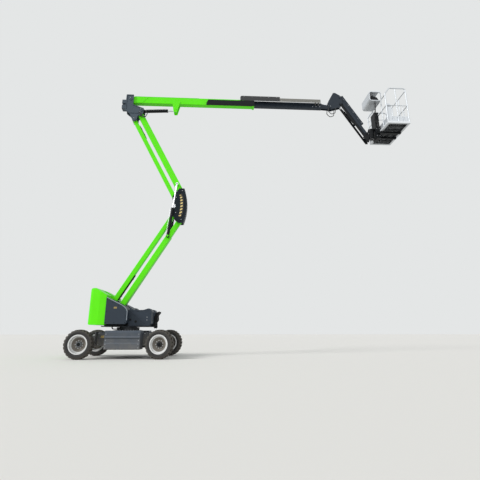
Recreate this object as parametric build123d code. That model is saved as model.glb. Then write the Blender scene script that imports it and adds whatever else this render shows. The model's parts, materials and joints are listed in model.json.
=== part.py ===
from build123d import *
import os
from math import atan2, cos, degrees, hypot, radians, sin

# Self-propelled articulated boom lift. Millimetres and degrees.
# X runs forward to the platform, Y to the machine's left, Z up; the origin is
# on the ground under the slewing axis.

# Fits shared by all pieces
PIN_PLAY = 0.1
SEAT = 0.3
CLEAR = 8
PLATE = 16

# Running gear
WHEELBASE = 2030
TRACK = 1524
TYRE_R = 354.5
TYRE_W = 240
BEAD_R = 222
RIM_INSET = 22
RIM_LIP = 14
RIM_T = 6
LUGS = 24
LUG_DEPTH = 24
GROOVE = 40
HUB_R = 32
AXLE_H = 130
AXLE_W = 120
KING_Y = 556
KING_R = 25
STEER_AT_REST = -10
STEER_ARM = 165

# Chassis
FRAME_GAP = 315
FRAME_Y = 390
FRAME_Z0 = 300
DECK_Z = 690
DECK_T = 40
COVER_REAR_GAP = 275.5
COVER_FRONT_GAP = 165.5
COVER_Y = 860
COVER_Z0 = 230

# Turntable
RING_R = 300
RING_IN = 235
RING_H = 80
TABLE_T = 25
CHEEK_Y = 115
CHEEK_T = 25
SKIRT_Z = 845
SIDE_Y = 790
HOUSING_X = 116
FRONT_Y = 560
TAIL_X = -900
TAIL_FRONT = -440
TAIL_Y = 770
TAIL_TOP = 1760
TAIL_LOW = 1570

# Riser linkage: base pivot, link offset, arm lengths and angles
BASE_X = -325
BASE_Z = 1150
LINK_DX = -171
LINK_DZ = 211
LOWER_LEN = 3085
LOWER_ANGLE = 59.2
UPPER_LEN = 2950
UPPER_ANGLE = 118.2
ELBOW_H = 900
LOWER_H = 160
LOWER_W = 196
HEAD_LEN = 560
HEAD_W = 124
LOWER_LINK_H = 130
LINK_W = 140
UPPER_H = 180
UPPER_W = 164
UPPER_LINK_H = 124
WALL = 8
BOSS_R = 78
LINK_BOSS_R = 56
PIN_R = 34
ELBOW_Y = 112
ELBOW_T = 16
ELBOW_BULGE = 185

# Riser lift cylinders
RISER_CYL_Y = 200
RISER_LOW = 590
RISER_HIGH = 235
RISER_BARREL = 860

# Carrier and main boom
BOOM_DX = -341
BOOM_DZ = 520
BOOM_H = 240
BOOM_W = 180
BOOM_SETBACK = 90.3725
BOOM_RISE = 20.2635
BOOM_LEN = 3900
LUFF_BASE_X = 300
LUFF_BASE_DROP = 380
LUFF_EYE_X = 1345
LUFF_EYE_DROP = 320
LUFF_BARREL = 800

# Telescoping section, hose chain and tip
INNER_H = 200
INNER_W = 140
INNER_OVERLAP = 1850
INNER_LEN = 4100
TIP_REACH = 290
TIP_DROP = 60
LEVEL_BASE_X = 430
LEVEL_BASE_DROP = 5
LEVEL_EYE_BACK = 20
LEVEL_EYE_RISE = 165
LEVEL_BARREL = 360
LANE_IN = -112
LANE_OUT = -204
SHEET = 4
CHAIN_W = 74
CHAIN_H = 62
CHAIN_R = 115
CHAIN_BACK = 310
CHAIN_PITCH = 72
CHAIN_LOW = 2
CHAIN_TOP = 15
CHAIN_REST = 4.1
TRAY_LEN = 1560
TRAY_H = 130
TRAY_LIP = 45
GUARD_BACK = 460
GUARD_LEN = 1300
GUARD_H = 172
RAIL_SKIRT = 90
RAIL_LIP = 30
RAIL_BACK = 60

# Jib
JIB_TOP_X = 350
JIB_TOP_RISE = 390
JIB_DX = 810
JIB_DZ = -1340
JIB_LINK_DX = 0
JIB_LINK_DZ = -250
JIB_H = 100
JIB_W = 108
JIB_BOSS_R = 52
JIB_PLATE_Y = 60
JIB_PLATE_T = 18
JIB_BAR_Y = 84
JIB_BAR_T = 15
JIB_BAR_H = 70
CHANNEL_X1 = 1180
CHANNEL_H = 100
JIB_CYL = 1050
JIB_EYE_BACK = 48
JIB_EYE_DROP = 290
JIB_BARREL = 560

# Platform
ROTATOR_REACH = 165
ROTATOR_R = 95
ROTATOR_DROP = 130
ROTATOR_H = 310
MOUNT_X = 115
MOUNT_H = 600
MOUNT_Y = 150
DECK_GAP = 250
DECK_LEN = 720
PLAT_Y = 750
FLOOR_RISE = 180
FLOOR_T = 60
RAIL_H = 1195
RAIL_R = 19
POST_R = 16
GATE_R = 14
UPRIGHT_R = 9
RAIL_BEND = 70
RAIL_SLOPE = 210
MID_RAIL = 565
GATE_GAP = 100
TOE_H = 190
HOOD_BACK = 400
HOOD_Y0 = -500
HOOD_Y1 = 120
HOOD_H = 345

# Hoses
HOSE_R = 11


def shifted(p, angle, along, off=0):
    """The point that lies along a direction from p, and off to its left."""
    c, s = cos(radians(angle)), sin(radians(angle))
    return (p[0] + along * c - off * s, p[1] + along * s + off * c)


def span(p, q):
    """Distance and direction from p to q."""
    return hypot(q[0] - p[0], q[1] - p[1]), degrees(atan2(q[1] - p[1], q[0] - p[0]))


def outline(points, corner=0):
    """A closed outline in the side view, with rounded corners."""
    face = make_face(Polyline(*points, close=True))
    return fillet(face.vertices(), corner) if corner else face


def slab(face, y0, y1):
    """A side-view outline made solid from y0 to y1."""
    return extrude(Plane.XZ.offset(-y1) * face, amount=y1 - y0)


def plate(points, y0, y1, corner=0):
    """A flat plate seen from the side."""
    solid = slab(outline(points, corner), min(y0, y1), max(y0, y1))
    return solid


def shaft(p, r, y0, y1):
    """A round bar across the machine."""
    turned = Rot(90, 0, 0) * Cylinder(r, abs(y1 - y0))
    return Pos(p[0], (y0 + y1) / 2, p[1]) * turned


def block(x0, x1, y0, y1, z0, z1):
    """A straight block between three pairs of limits."""
    solid = Box(x1 - x0, y1 - y0, z1 - z0)
    return Pos((x0 + x1) / 2, (y0 + y1) / 2, (z0 + z1) / 2) * solid


def post(x, y, r, z0, z1):
    """An upright round bar."""
    return Pos(x, y, (z0 + z1) / 2) * Cylinder(r, z1 - z0)


def tilted(p, angle, solid):
    """Lays a solid made along X at a point, at an angle to level."""
    return Pos(p[0], 0, p[1]) * Rot(0, -angle, 0) * solid


def box_tube(x0, x1, high, wide, wall, corner=14):
    """A rectangular tube along X with rolled corners."""
    face = RectangleRounded(wide, high, corner)
    hole = RectangleRounded(wide - 2 * wall, high - 2 * wall, corner - wall / 2)
    return Pos(x0, 0, 0) * extrude(Plane.YZ * (face - hole), amount=x1 - x0)


def both(solid):
    """A piece and its twin on the other side."""
    return solid + mirror(solid, about=Plane.XZ)


def rod_x(x0, x1, r):
    """A round bar along X."""
    return Pos((x0 + x1) / 2, 0, 0) * (Rot(0, 90, 0) * Cylinder(r, x1 - x0))


# Pivots of the linkage, in the side view
A0 = (BASE_X, BASE_Z)
A1 = shifted(A0, LOWER_ANGLE, LOWER_LEN)
B0 = (A0[0] + LINK_DX, A0[1] + LINK_DZ)
B1 = (A1[0] + LINK_DX, A1[1] + LINK_DZ)
C0 = (A1[0], A1[1] + ELBOW_H)
C1 = shifted(C0, UPPER_ANGLE, UPPER_LEN)
D0 = (C0[0] + LINK_DX, C0[1] - LINK_DZ)
D1 = (C1[0] + LINK_DX, C1[1] - LINK_DZ)
ROOT = (C1[0] + BOOM_DX, C1[1] + BOOM_DZ)
BOOM_MID_Z = ROOT[1] + BOOM_RISE
BOOM_X0 = ROOT[0] + BOOM_SETBACK
BOOM_X1 = BOOM_X0 + BOOM_LEN
LUFF_BASE = (BOOM_X0 + LUFF_BASE_X, BOOM_MID_Z - LUFF_BASE_DROP)
LUFF_EYE = (BOOM_X0 + LUFF_EYE_X, BOOM_MID_Z - LUFF_EYE_DROP)
INNER_X0 = BOOM_X1 - INNER_OVERLAP
INNER_X1 = INNER_X0 + INNER_LEN
TIP = (INNER_X1 + TIP_REACH, BOOM_MID_Z - TIP_DROP)
LEVEL_BASE = (INNER_X1 - LEVEL_BASE_X, BOOM_MID_Z - LEVEL_BASE_DROP)
LEVEL_EYE = (TIP[0] - LEVEL_EYE_BACK, TIP[1] + LEVEL_EYE_RISE)
CHAIN_X = BOOM_X1 - CHAIN_BACK
TRAY_X0 = BOOM_X1 - TRAY_LEN
GUARD_X0 = BOOM_X1 - GUARD_BACK
GUARD_X1 = GUARD_X0 + GUARD_LEN
RAIL_X1 = INNER_X1 - RAIL_BACK
RISER_PIN = shifted(A1, LOWER_ANGLE, -RISER_LOW)
RISER_EYE = shifted(C0, UPPER_ANGLE, RISER_HIGH)
JIB_TOP = (TIP[0] + JIB_TOP_X, TIP[1] + JIB_TOP_RISE)
JIB_EYE = (JIB_TOP[0] - JIB_EYE_BACK, JIB_TOP[1] - JIB_EYE_DROP)
JIB_FOOT = (JIB_TOP[0] + JIB_DX, JIB_TOP[1] + JIB_DZ)
ROTATOR_X = JIB_FOOT[0] + ROTATOR_REACH
ROTATOR_Z0 = JIB_FOOT[1] - ROTATOR_DROP
ROTATOR_Z1 = ROTATOR_Z0 + ROTATOR_H
DECK_X0 = ROTATOR_X + DECK_GAP
DECK_X1 = DECK_X0 + DECK_LEN
FLOOR_Z = ROTATOR_Z0 + FLOOR_RISE
HOOD_X0 = DECK_X0 - HOOD_BACK
JIB_LEN, JIB_ANGLE = span(JIB_TOP, JIB_FOOT)
BAR_TOP = (JIB_TOP[0] + JIB_LINK_DX, JIB_TOP[1] + JIB_LINK_DZ)
BAR_FOOT = (JIB_FOOT[0] + JIB_LINK_DX, JIB_FOOT[1] + JIB_LINK_DZ)
JIB_PIN = shifted(JIB_TOP, JIB_ANGLE, JIB_CYL, -JIB_H / 2 - 42)
AXLE_Z = TYRE_R
WHEEL_Y = TRACK / 2
FRAME_X = WHEELBASE / 2 - FRAME_GAP
COVER_X0 = TYRE_R + COVER_REAR_GAP - WHEELBASE / 2
COVER_X1 = WHEELBASE / 2 - TYRE_R - COVER_FRONT_GAP


def chassis_frame():
    """Frame of a box open below, deck ring, necks to the axles, lashing lugs and guard plates."""
    top = DECK_Z - DECK_T
    frame = block(-FRAME_X, FRAME_X, -FRAME_Y, FRAME_Y, FRAME_Z0, top)
    frame -= block(-FRAME_X + PLATE, FRAME_X - PLATE, -FRAME_Y + PLATE, FRAME_Y - PLATE,
                   FRAME_Z0 - 1, top - PLATE)
    for x in (-230, 230):
        frame += block(x - 8, x + 8, -FRAME_Y, FRAME_Y, FRAME_Z0 + 60, top)
    deck = post(0, 0, FRAME_Y + 10, top + SEAT, DECK_Z) - post(0, 0, 150, top, DECK_Z + 1)
    frame += deck
    neck = WHEELBASE / 2 - AXLE_W / 2
    for side in (-1, 1):
        x0, x1 = sorted((side * (FRAME_X + SEAT), side * neck))
        frame += block(x0, x1, -230, 230, 330, 560) - block(
            x0 - 1, x1 + 1, -214, 214, 346, 544)
        lug_x0, lug_x1 = sorted((side * (FRAME_X + SEAT), side * (FRAME_X + 90)))
        for y in (-330, 330):
            lug = block(lug_x0, lug_x1, y - 12, y + 12, 420, 520)
            frame += lug - shaft((side * (FRAME_X + 48), 470), 26, y - 20, y + 20)
    return frame + both(block(-FRAME_X, -FRAME_X + PLATE, FRAME_Y + SEAT, 590, 330, 650))


def side_covers():
    """Ledged covers over the battery boxes, between the wheels."""
    y0 = FRAME_Y + SEAT
    y1 = COVER_Y
    ledges = [(y0, COVER_Z0), (y1 - 30, COVER_Z0), (y1 - 10, COVER_Z0 + 20), (y1 - 10, 385),
              (y1 - 22, 397), (y1 - 22, 500), (y1, 512), (y1, 548), (y1 - 18, 560),
              (y1 - 18, 640), (y1 - 45, DECK_Z - 4), (y0, DECK_Z - 4)]
    face = make_face(Polyline(*ledges, close=True))
    cover = Pos(COVER_X0, 0, 0) * extrude(Plane.YZ * face, amount=COVER_X1 - COVER_X0)
    return both(cover - post(0, 0, FRAME_Y + 10 + SEAT, DECK_Z - DECK_T - 1, DECK_Z))


def front_axle():
    """Steered axle: a box beam with a fork and kingpin at each end."""
    x = WHEELBASE / 2
    z0, z1 = AXLE_Z - AXLE_H / 2, AXLE_Z + AXLE_H / 2
    axle = block(x - AXLE_W / 2, x + AXLE_W / 2, -450, 450, z0, z1)
    fork = block(x - 36, x + 36, 430, KING_Y - 60, z0 - 25, z1 + 25)
    for low in (z0 - 25, z1):
        fork += block(x - 55, x + 55, KING_Y - 61, KING_Y, low, low + 25)
        fork += post(x, KING_Y, 55, low, low + 25)
    fork += post(x, KING_Y, KING_R, z0 - 25, z1 + 25)
    return axle + both(fork)


def knuckle(side):
    """Steering knuckle: kingpin barrel, stub axle, flange and steering arm."""
    x = WHEELBASE / 2
    z0, z1 = AXLE_Z - AXLE_H / 2 + 2, AXLE_Z + AXLE_H / 2 - 2
    piece = post(x, KING_Y, 46, z0, z1)
    piece += shaft((x, AXLE_Z), HUB_R, KING_Y, WHEEL_Y + 14)
    piece += shaft((x, AXLE_Z), 70, KING_Y + 70, WHEEL_Y - 84)
    piece += block(x - STEER_ARM, x, KING_Y - 20, KING_Y + 20, z0, z0 + 26)
    piece += post(x - STEER_ARM, KING_Y, 28, z0, z0 + 26)
    piece += post(x - STEER_ARM, KING_Y, 12, z0 - 34, z0)
    piece -= post(x, KING_Y, KING_R + PIN_PLAY, z0 - 1, z1 + 1)
    if side < 0:
        piece = mirror(piece, about=Plane.XZ)
    return turned_with_steer(piece, side)


def turned_with_steer(piece, side):
    """Turns what steers about its kingpin to the angle it is parked at."""
    return piece.rotate(Axis((WHEELBASE / 2, side * KING_Y, 0), (0, 0, 1)), STEER_AT_REST)


def arm_end(side):
    """Where the tie rod's joint sits, with the wheels as they are parked."""
    c, s = cos(radians(STEER_AT_REST)), sin(radians(STEER_AT_REST))
    return WHEELBASE / 2 - STEER_ARM * c, side * KING_Y - STEER_ARM * s


def tie_rod():
    """Rod that keeps both steered wheels in line."""
    z0 = AXLE_Z - AXLE_H / 2 + 2 - 34
    (x, y0), (_, y1) = arm_end(-1), arm_end(1)
    rod = Pos(x, (y0 + y1) / 2, z0 + 15) * (Rot(90, 0, 0) * Cylinder(16, y1 - y0))
    for y in (y0, y1):
        rod += post(x, y, 26, z0, z0 + 30)
    for y in (y0, y1):
        rod -= post(x, y, 12 + PIN_PLAY, z0 - 1, z0 + 40)
    return rod


def rear_axle():
    """Driven axle: box beam, travel motors and hub reduction drives."""
    x = -WHEELBASE / 2
    axle = block(x - AXLE_W / 2, x + AXLE_W / 2, -520, 520, AXLE_Z - 65, AXLE_Z + 65)
    drive = shaft((x, AXLE_Z), 82, 270, 520)
    drive += shaft((x, AXLE_Z), 112, 510, 640)
    drive += shaft((x, AXLE_Z), 92, 640, WHEEL_Y - 84)
    drive += shaft((x, AXLE_Z), HUB_R, 600, WHEEL_Y + 14)
    return axle + both(drive)


def tyre_blank():
    """Tyre about Y at the origin, outer side to +Y, with a staggered lug tread."""
    w = TYRE_W / 2
    r = TYRE_R
    bead = BEAD_R + SEAT
    seat = w - RIM_INSET - SEAT
    lip = BEAD_R + RIM_LIP + SEAT
    half = [(bead, seat), (lip, seat), (lip + 8, w - 10), (lip + 40, w), (r - 52, w - 2),
            (r - 16, w - 16), (r, w - 40)]
    face = Polyline(*half, *[(x, -y) for x, y in reversed(half)], close=True)
    body = revolve(Plane.XY * make_face(face), axis=Axis.Y)
    grooves = []
    step = 360 / LUGS
    for side in (-1, 1):
        for i in range(LUGS):
            turn = (i + (0.5 if side > 0 else 0)) * step
            cut = Pos(r, side * (w / 2 + 14), 0) * Rot(side * 16, 0, 0)
            cut = cut * Box(2 * LUG_DEPTH, w, GROOVE)
            grooves.append(Rot(0, turn, 0) * cut)
    return body - grooves


def rim_blank(deep):
    """Pressed wheel about Y at the origin: rim, dished disc and hub."""
    w = TYRE_W / 2 - RIM_INSET
    barrel = BEAD_R - 12
    lip = BEAD_R + RIM_LIP
    edge = w + RIM_T
    ring = [(BEAD_R, -w), (lip, -w), (lip, -edge), (barrel, -edge),
            (barrel, edge), (lip, edge), (lip, w), (BEAD_R, w)]
    rim = revolve(Plane.XY * make_face(Polyline(*ring, close=True)), axis=Axis.Y)
    disc = -30 if deep else 6
    dish = [(HUB_R + PIN_PLAY, -70), (68, -70), (68, disc), (120, disc), (160, disc + 34),
            (barrel + 1, disc + 34), (barrel + 1, disc + 44), (154, disc + 44), (114, disc + 12),
            (72, disc + 12), (60, disc + 60), (0, disc + 60), (0, 20), (HUB_R + PIN_PLAY, 20)]
    return rim + revolve(Plane.XY * make_face(Polyline(*dish, close=True)), axis=Axis.Y)


def on_wheel(blank, front, side):
    """Puts a wheel piece on its stub axle; the front pair stand steered."""
    piece = blank if side > 0 else Rot(0, 0, 180) * blank
    piece = Pos((1 if front else -1) * WHEELBASE / 2, side * WHEEL_Y, AXLE_Z) * piece
    return turned_with_steer(piece, side) if front else piece


def slew_ring():
    """Outer race of the slewing ring, bolted to the chassis deck."""
    z = DECK_Z
    return post(0, 0, RING_R, z, z + RING_H) - post(0, 0, RING_IN, z - 1, z + RING_H + 1)


def turntable_frame():
    """Slewing base plate, inner race and the two cheeks that carry the risers."""
    z0 = DECK_Z + RING_H + CLEAR
    z1 = z0 + TABLE_T
    race = RING_IN - SEAT
    frame = block(-640, 640, -330, 330, z0, z1)
    frame += post(0, 0, race, DECK_Z + 12, z0) - post(0, 0, 150, DECK_Z, z1)
    frame -= post(0, 0, 150, z0 - 1, z1 + 1)
    foot = z1 + SEAT
    shape = [(-620, foot), (620, foot), (620, z1 + 60), (120, z1 + 150),
             (A0[0] + 110, A0[1] + 80), (B0[0] + 90, B0[1] + 85), (B0[0] - 80, B0[1] + 75),
             (-620, B0[1] - 80)]
    cheeks = both(plate(shape, CHEEK_Y, CHEEK_Y + CHEEK_T, 20))
    return frame + pinned(cheeks, (A0, B0), PIN_R, CHEEK_Y + CHEEK_T + 12)


def counterweight():
    """Cast tail weight: rounded rear corners, sloping top with a valley, open to the front."""
    z0 = SKIRT_Z - 20
    crease = -620
    plan = outline([(TAIL_FRONT, -TAIL_Y), (crease, -TAIL_Y), (TAIL_X, 60 - TAIL_Y), (TAIL_X, TAIL_Y - 60),
                    (crease, TAIL_Y), (TAIL_FRONT, TAIL_Y)])
    plan = fillet(plan.vertices().filter_by(lambda v: v.X < TAIL_X + 1), 140)
    body = Pos(0, 0, z0) * extrude(plan, amount=TAIL_TOP - z0)
    front = TAIL_FRONT + 10
    side = outline([(front, z0 - 10), (front, TAIL_LOW), (TAIL_X + 130, TAIL_TOP), (TAIL_X, TAIL_TOP),
                    (TAIL_X, z0)])
    side = fillet(side.vertices().filter_by(lambda v: v.X < TAIL_X + 1 and v.Y > TAIL_LOW), 110)
    side = fillet(side.vertices().filter_by(lambda v: v.X < TAIL_X + 1 and v.Y < z0 + 1), 70)
    body &= slab(side, -TAIL_Y - 10, TAIL_Y + 10)
    back = outline([(-TAIL_Y, z0 - 10), (TAIL_Y, z0 - 10), (TAIL_Y, TAIL_TOP), (-TAIL_Y, TAIL_TOP)])
    back = fillet(back.vertices().filter_by(lambda v: v.Y > TAIL_LOW), 150)
    body &= Pos(TAIL_X - 10, 0, 0) * extrude(Plane.YZ * back, amount=front - TAIL_X + 20)
    body -= block(-690, front, -560, 560, z0 - 1, 1440)
    valley = [(TAIL_X + 130, TAIL_TOP + 1), (front, TAIL_TOP + 1), (front, 1350), (crease, 1440),
              (-690, TAIL_LOW - 20)]
    return body - plate(valley, -230, 230)


def turntable_covers():
    """Side housings over the tanks, pump and valves, one each side."""
    x0 = TAIL_FRONT + SEAT
    x1 = HOUSING_X
    shape = outline([(x0, SKIRT_Z), (x1 - 8, SKIRT_Z), (x1, SKIRT_Z + 90), (x1, 1180), (0, 1300), (x0, 1510)])
    shape = fillet(shape.vertices().filter_by(lambda v: v.X > -10), 60)
    return both(slab(shape, CHEEK_Y + CHEEK_T + 20, SIDE_Y))


def front_housings():
    """Lower housings each side of the risers, with a swept top and a front lip."""
    z1 = DECK_Z + RING_H + CLEAR + TABLE_T
    x0, x1 = HOUSING_X, 640
    sweep_down = ThreePointArc((x0, 1290), (x0 + 70, 1228), (x0 + 180, 1202))
    nose = Polyline(sweep_down @ 1, (x1 - 160, 1205), (x1 - 40, 1243), (x1, 1240), (x1 + 60, 1170),
                    (x1 + 60, z1 + 60), (x1, z1), (x0, z1), (x0, 1290))
    return both(slab(make_face(sweep_down + nose), CHEEK_Y + CHEEK_T + 20, FRONT_Y))


def boom_rest():
    """Hooked rest plates with a cross pad that take the folded risers."""
    z1 = DECK_Z + RING_H + CLEAR
    x0 = 640 + SEAT
    hook = [(x0, z1), (x0, 1000), (x0 + 70, 1060), (x0 + 100, 1150), (x0 + 205, 1190), (x0 + 200, 1140),
            (x0 + 150, 1080), (x0 + 160, 960), (x0 + 120, 900), (x0 + 130, z1 - 10), (x0 + 95, z1 - 45),
            (x0 + 60, z1)]
    rest = both(plate(hook, CHEEK_Y, CHEEK_Y + CHEEK_T, 8))
    half = CHEEK_Y - SEAT
    rest += block(x0 + 30, x0 + 140, -half, half, 960, 1020)
    return rest + block(x0, x0 + 20, -half, half, z1, 940)


def pinned(plates, points, r, reach):
    """Plates drilled for cross pins, with the pins in place."""
    pins = [shaft(p, r, -reach, reach) for p in points]
    return plates - [shaft(p, r + SEAT, -2 * reach, 2 * reach) for p in points] + pins


def eye_arm(p, angle, length, high, wide, boss, hole):
    """A box-section arm with a turned boss at each end."""
    arm = tilted(p, angle, box_tube(boss * 0.6, length - boss * 0.6, high, wide, WALL))
    ends = shaft(p, boss, -wide / 2, wide / 2)
    far = shifted(p, angle, length)
    ends += shaft(far, boss, -wide / 2, wide / 2)
    arm += ends
    for at in (p, far):
        arm -= shaft(at, hole, -wide, wide)
    return arm


def lower_arm():
    """Lower riser arm: box tube, narrower head to the elbow, cross tube for the cylinders."""
    fit = PIN_R + PIN_PLAY
    neck = LOWER_LEN - HEAD_LEN
    arm = tilted(A0, LOWER_ANGLE, box_tube(BOSS_R * 0.6, neck, LOWER_H, LOWER_W, WALL))
    arm += tilted(A0, LOWER_ANGLE, box_tube(neck - 80, LOWER_LEN - BOSS_R * 0.6, LOWER_H - 16, HEAD_W, WALL + 4))
    arm += shaft(A0, BOSS_R, -LOWER_W / 2, LOWER_W / 2) + shaft(A1, BOSS_R, -LOWER_W / 2, LOWER_W / 2)
    for at in (A0, A1):
        arm -= shaft(at, fit, -LOWER_W, LOWER_W)
    side = LOWER_W / 2 + SEAT
    stub = shaft(RISER_PIN, 28, side, RISER_CYL_Y + 58) + shaft(RISER_PIN, 48, side, 150)
    return arm + both(stub)


def lower_link():
    """Lower levelling link."""
    return eye_arm(B0, LOWER_ANGLE, LOWER_LEN, LOWER_LINK_H, LINK_W, LINK_BOSS_R,
                   PIN_R + PIN_PLAY)


def elbow_plates():
    """Pair of crescent plates that join both risers, with their pins."""
    mid = (A1[0] + ELBOW_BULGE, (A1[1] + C0[1]) / 2)
    foot = (A1[0] + 95, A1[1] - 90)
    head = (C0[0] + 95, C0[1] + 90)
    back = ThreePointArc(foot, mid, head)
    inner = [head, (C0[0] - 40, C0[1] + 90), (D0[0] - 62, D0[1] + 50), (D0[0] - 62, D0[1] - 50),
             (A1[0] - 110, mid[1]), (B1[0] - 62, B1[1] + 50), (B1[0] - 62, B1[1] - 50),
             (A1[0] - 40, A1[1] - 90), foot]
    face = make_face(back + Polyline(*inner))
    sides = both(slab(face, ELBOW_Y, ELBOW_Y + ELBOW_T))
    return pinned(sides, (A1, B1, C0, D0), PIN_R, ELBOW_Y + ELBOW_T + 8)


def elbow_cover():
    """Curved striped cover along the back of the elbow."""
    mid_z = (A1[1] + C0[1]) / 2
    out, t = ELBOW_BULGE - 4 + SEAT, 14
    outer = ThreePointArc((A1[0] + 95 + SEAT, A1[1] - 90), (A1[0] + out + 4, mid_z),
                          (C0[0] + 95 + SEAT, C0[1] + 90))
    inner = ThreePointArc((C0[0] + 95 + t, C0[1] + 90), (A1[0] + out + 4 + t, mid_z),
                          (A1[0] + 95 + t, A1[1] - 90))
    face = make_face(outer + Line(outer @ 1, inner @ 0) + inner + Line(inner @ 1, outer @ 0))
    y = ELBOW_Y + ELBOW_T
    return slab(face, -y, y)


def cylinder_barrel(p, q, length, bore, r, y, eye_r, eye_w):
    """Hydraulic cylinder's barrel from its pin p towards q."""
    _, angle = span(p, q)
    body = rod_x(eye_r - 6, length, r)
    body += rod_x(length - 46, length, r + 4)
    body += Rot(90, 0, 0) * Cylinder(eye_r, eye_w)
    body -= rod_x(eye_r + 30, length + 1, bore)
    return Pos(0, y, 0) * tilted(p, angle, body)


def cylinder_rod(p, q, start, r, y, eye_r, eye_w, hole):
    """Hydraulic cylinder's rod, from inside its barrel to its eye at q."""
    reach, angle = span(p, q)
    body = rod_x(start, reach - eye_r + 6, r)
    body += Pos(reach, 0, 0) * (Rot(90, 0, 0) * Cylinder(eye_r, eye_w))
    body -= Pos(reach, 0, 0) * (Rot(90, 0, 0) * Cylinder(hole, eye_w + 2))
    return Pos(0, y, 0) * tilted(p, angle, body)


def riser_barrels():
    """Barrels of the two riser lift cylinders."""
    one = cylinder_barrel(RISER_PIN, RISER_EYE, RISER_BARREL, 22 + SEAT, 42, RISER_CYL_Y, 46, 70)
    one -= shaft(RISER_PIN, 28 + PIN_PLAY, 0, 400)
    return both(one)


def riser_rods():
    """Rods of the two riser lift cylinders."""
    return both(cylinder_rod(RISER_PIN, RISER_EYE, 720, 22, RISER_CYL_Y, 38, 44, 20))


def upper_arm():
    """Upper riser arm, with stub pins for the lift cylinders' eyes."""
    arm = eye_arm(C0, UPPER_ANGLE, UPPER_LEN, UPPER_H, UPPER_W, BOSS_R, PIN_R + PIN_PLAY)
    return arm + both(shaft(RISER_EYE, 32, UPPER_W / 2 + SEAT, RISER_CYL_Y - 24))


def upper_link():
    """Upper levelling link."""
    return eye_arm(D0, UPPER_ANGLE, UPPER_LEN, UPPER_LINK_H, LINK_W, LINK_BOSS_R,
                   PIN_R + PIN_PLAY)


def carrier():
    """Head casting on the risers that carries the main boom and its cylinder."""
    x, z = C1
    top, waist = z + 685, z + 330
    back, front = x - 482, x - 250
    wing = [(back, top), (front, top), (front, waist), (LUFF_BASE[0] - 30, LUFF_BASE[1] + 60),
            (LUFF_BASE[0] + 48, LUFF_BASE[1] + 40), (LUFF_BASE[0] + 48, LUFF_BASE[1] - 40)]
    ears = [(x + 72, z + 20), (x + 30, z - 72), (x - 60, z - 60), (x - 90, z - 110), (D1[0] + 74, D1[1] + 20),
            (D1[0] + 30, D1[1] - 66), (D1[0] - 60, D1[1] - 40), (x - 340, z), (back - 10, z + 130)]
    y0, y1 = CHEEK_Y, CHEEK_Y + 20
    panel = outline(wing + [(x - 90, z + 10), (x - 330, z + 15), (back - 8, z + 135)], 18)
    rim = slab(panel - offset(panel, -26), y1 - 1, y1 + 14)
    body = pinned(both(plate(wing + ears, y0, y1, 14) + rim), (C1, D1, ROOT), PIN_R, y1 + 8)
    body = pinned(body, (LUFF_BASE,), 28, y1 + 8)
    body += block(back, back + 18, -y0 + SEAT, y0 - SEAT, z + 150, top - 20)
    lumps = block(back - 80, back - SEAT, -60, 60, z + 210, z + 500)
    for low in (z + 200, z + 390):
        lumps += block(back - 135, back - SEAT, -95, 95, low, low + 130)
    return body + lumps


def luff_barrel():
    """Barrel of the main boom's lift cylinder."""
    barrel = cylinder_barrel(LUFF_BASE, LUFF_EYE, LUFF_BARREL, 30 + SEAT, 50, 0, 50, 90)
    return barrel - shaft(LUFF_BASE, 28 + PIN_PLAY, -60, 60)


def luff_rod():
    """Rod of the main boom's lift cylinder."""
    return cylinder_rod(LUFF_BASE, LUFF_EYE, 560, 30, 0, 44, 56, 26)


def main_boom():
    """Outer boom section with its root boss and lift cylinder ears."""
    tube = Pos(0, 0, BOOM_MID_Z) * box_tube(BOOM_X0, BOOM_X1, BOOM_H, BOOM_W, WALL)
    root = shaft(ROOT, 92, -BOOM_W / 2, BOOM_W / 2)
    root += plate([(ROOT[0], ROOT[1] - 90), (BOOM_X0 + 60, BOOM_MID_Z - BOOM_H / 2 + 4),
                   (BOOM_X0 + 60, BOOM_MID_Z + BOOM_H / 2 - 4), (ROOT[0], ROOT[1] + 90)],
                  -BOOM_W / 2, BOOM_W / 2)
    boom = tube + root - shaft(ROOT, PIN_R + PIN_PLAY, -200, 200)
    low = LUFF_EYE[1] - 100
    ear = plate([(LUFF_EYE[0] - 50, low), (LUFF_EYE[0] + 50, low), (LUFF_EYE[0] + 150, BOOM_MID_Z - 30),
                 (LUFF_EYE[0] - 120, BOOM_MID_Z - 30)], BOOM_W / 2 + SEAT, BOOM_W / 2 + 14, 20)
    ear += shaft(LUFF_EYE, 26, 38, BOOM_W / 2 + 24)
    boom += both(ear)
    collar = Pos(0, 0, BOOM_MID_Z) * box_tube(BOOM_X1 - 60, BOOM_X1, BOOM_H + 30, BOOM_W + 30, 15)
    pads = Pos(0, 0, BOOM_MID_Z) * box_tube(BOOM_X1 - 70, BOOM_X1, BOOM_H - 14, BOOM_W - 14, 13 - SEAT, 10)
    return boom + collar + pads


def inner_boom():
    """Telescoping boom section with the ears for the levelled tip."""
    tube = Pos(0, 0, BOOM_MID_Z) * box_tube(INNER_X0, INNER_X1, INNER_H, INNER_W, WALL)
    z0, z1 = BOOM_MID_Z - INNER_H / 2, BOOM_MID_Z + INNER_H / 2
    ear = plate([(INNER_X1 - 140, z0 + 14), (TIP[0] + 10, TIP[1] - 56), (TIP[0] + 58, TIP[1]),
                 (TIP[0] + 10, TIP[1] + 58), (INNER_X1 - 20, z1 - 14), (INNER_X1 - 140, z1 - 14)],
                38, 54, 10)
    ear += block(INNER_X1 - 140, INNER_X1 - 40, 50, INNER_W / 2 - 2, z0 + 30, z1 - 30)
    tube += both(ear) - shaft(TIP, PIN_R - 8 + PIN_PLAY, -60, 60)
    return tube + both(shaft(LEVEL_BASE, 20, 20, INNER_W / 2 - 2))


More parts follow.
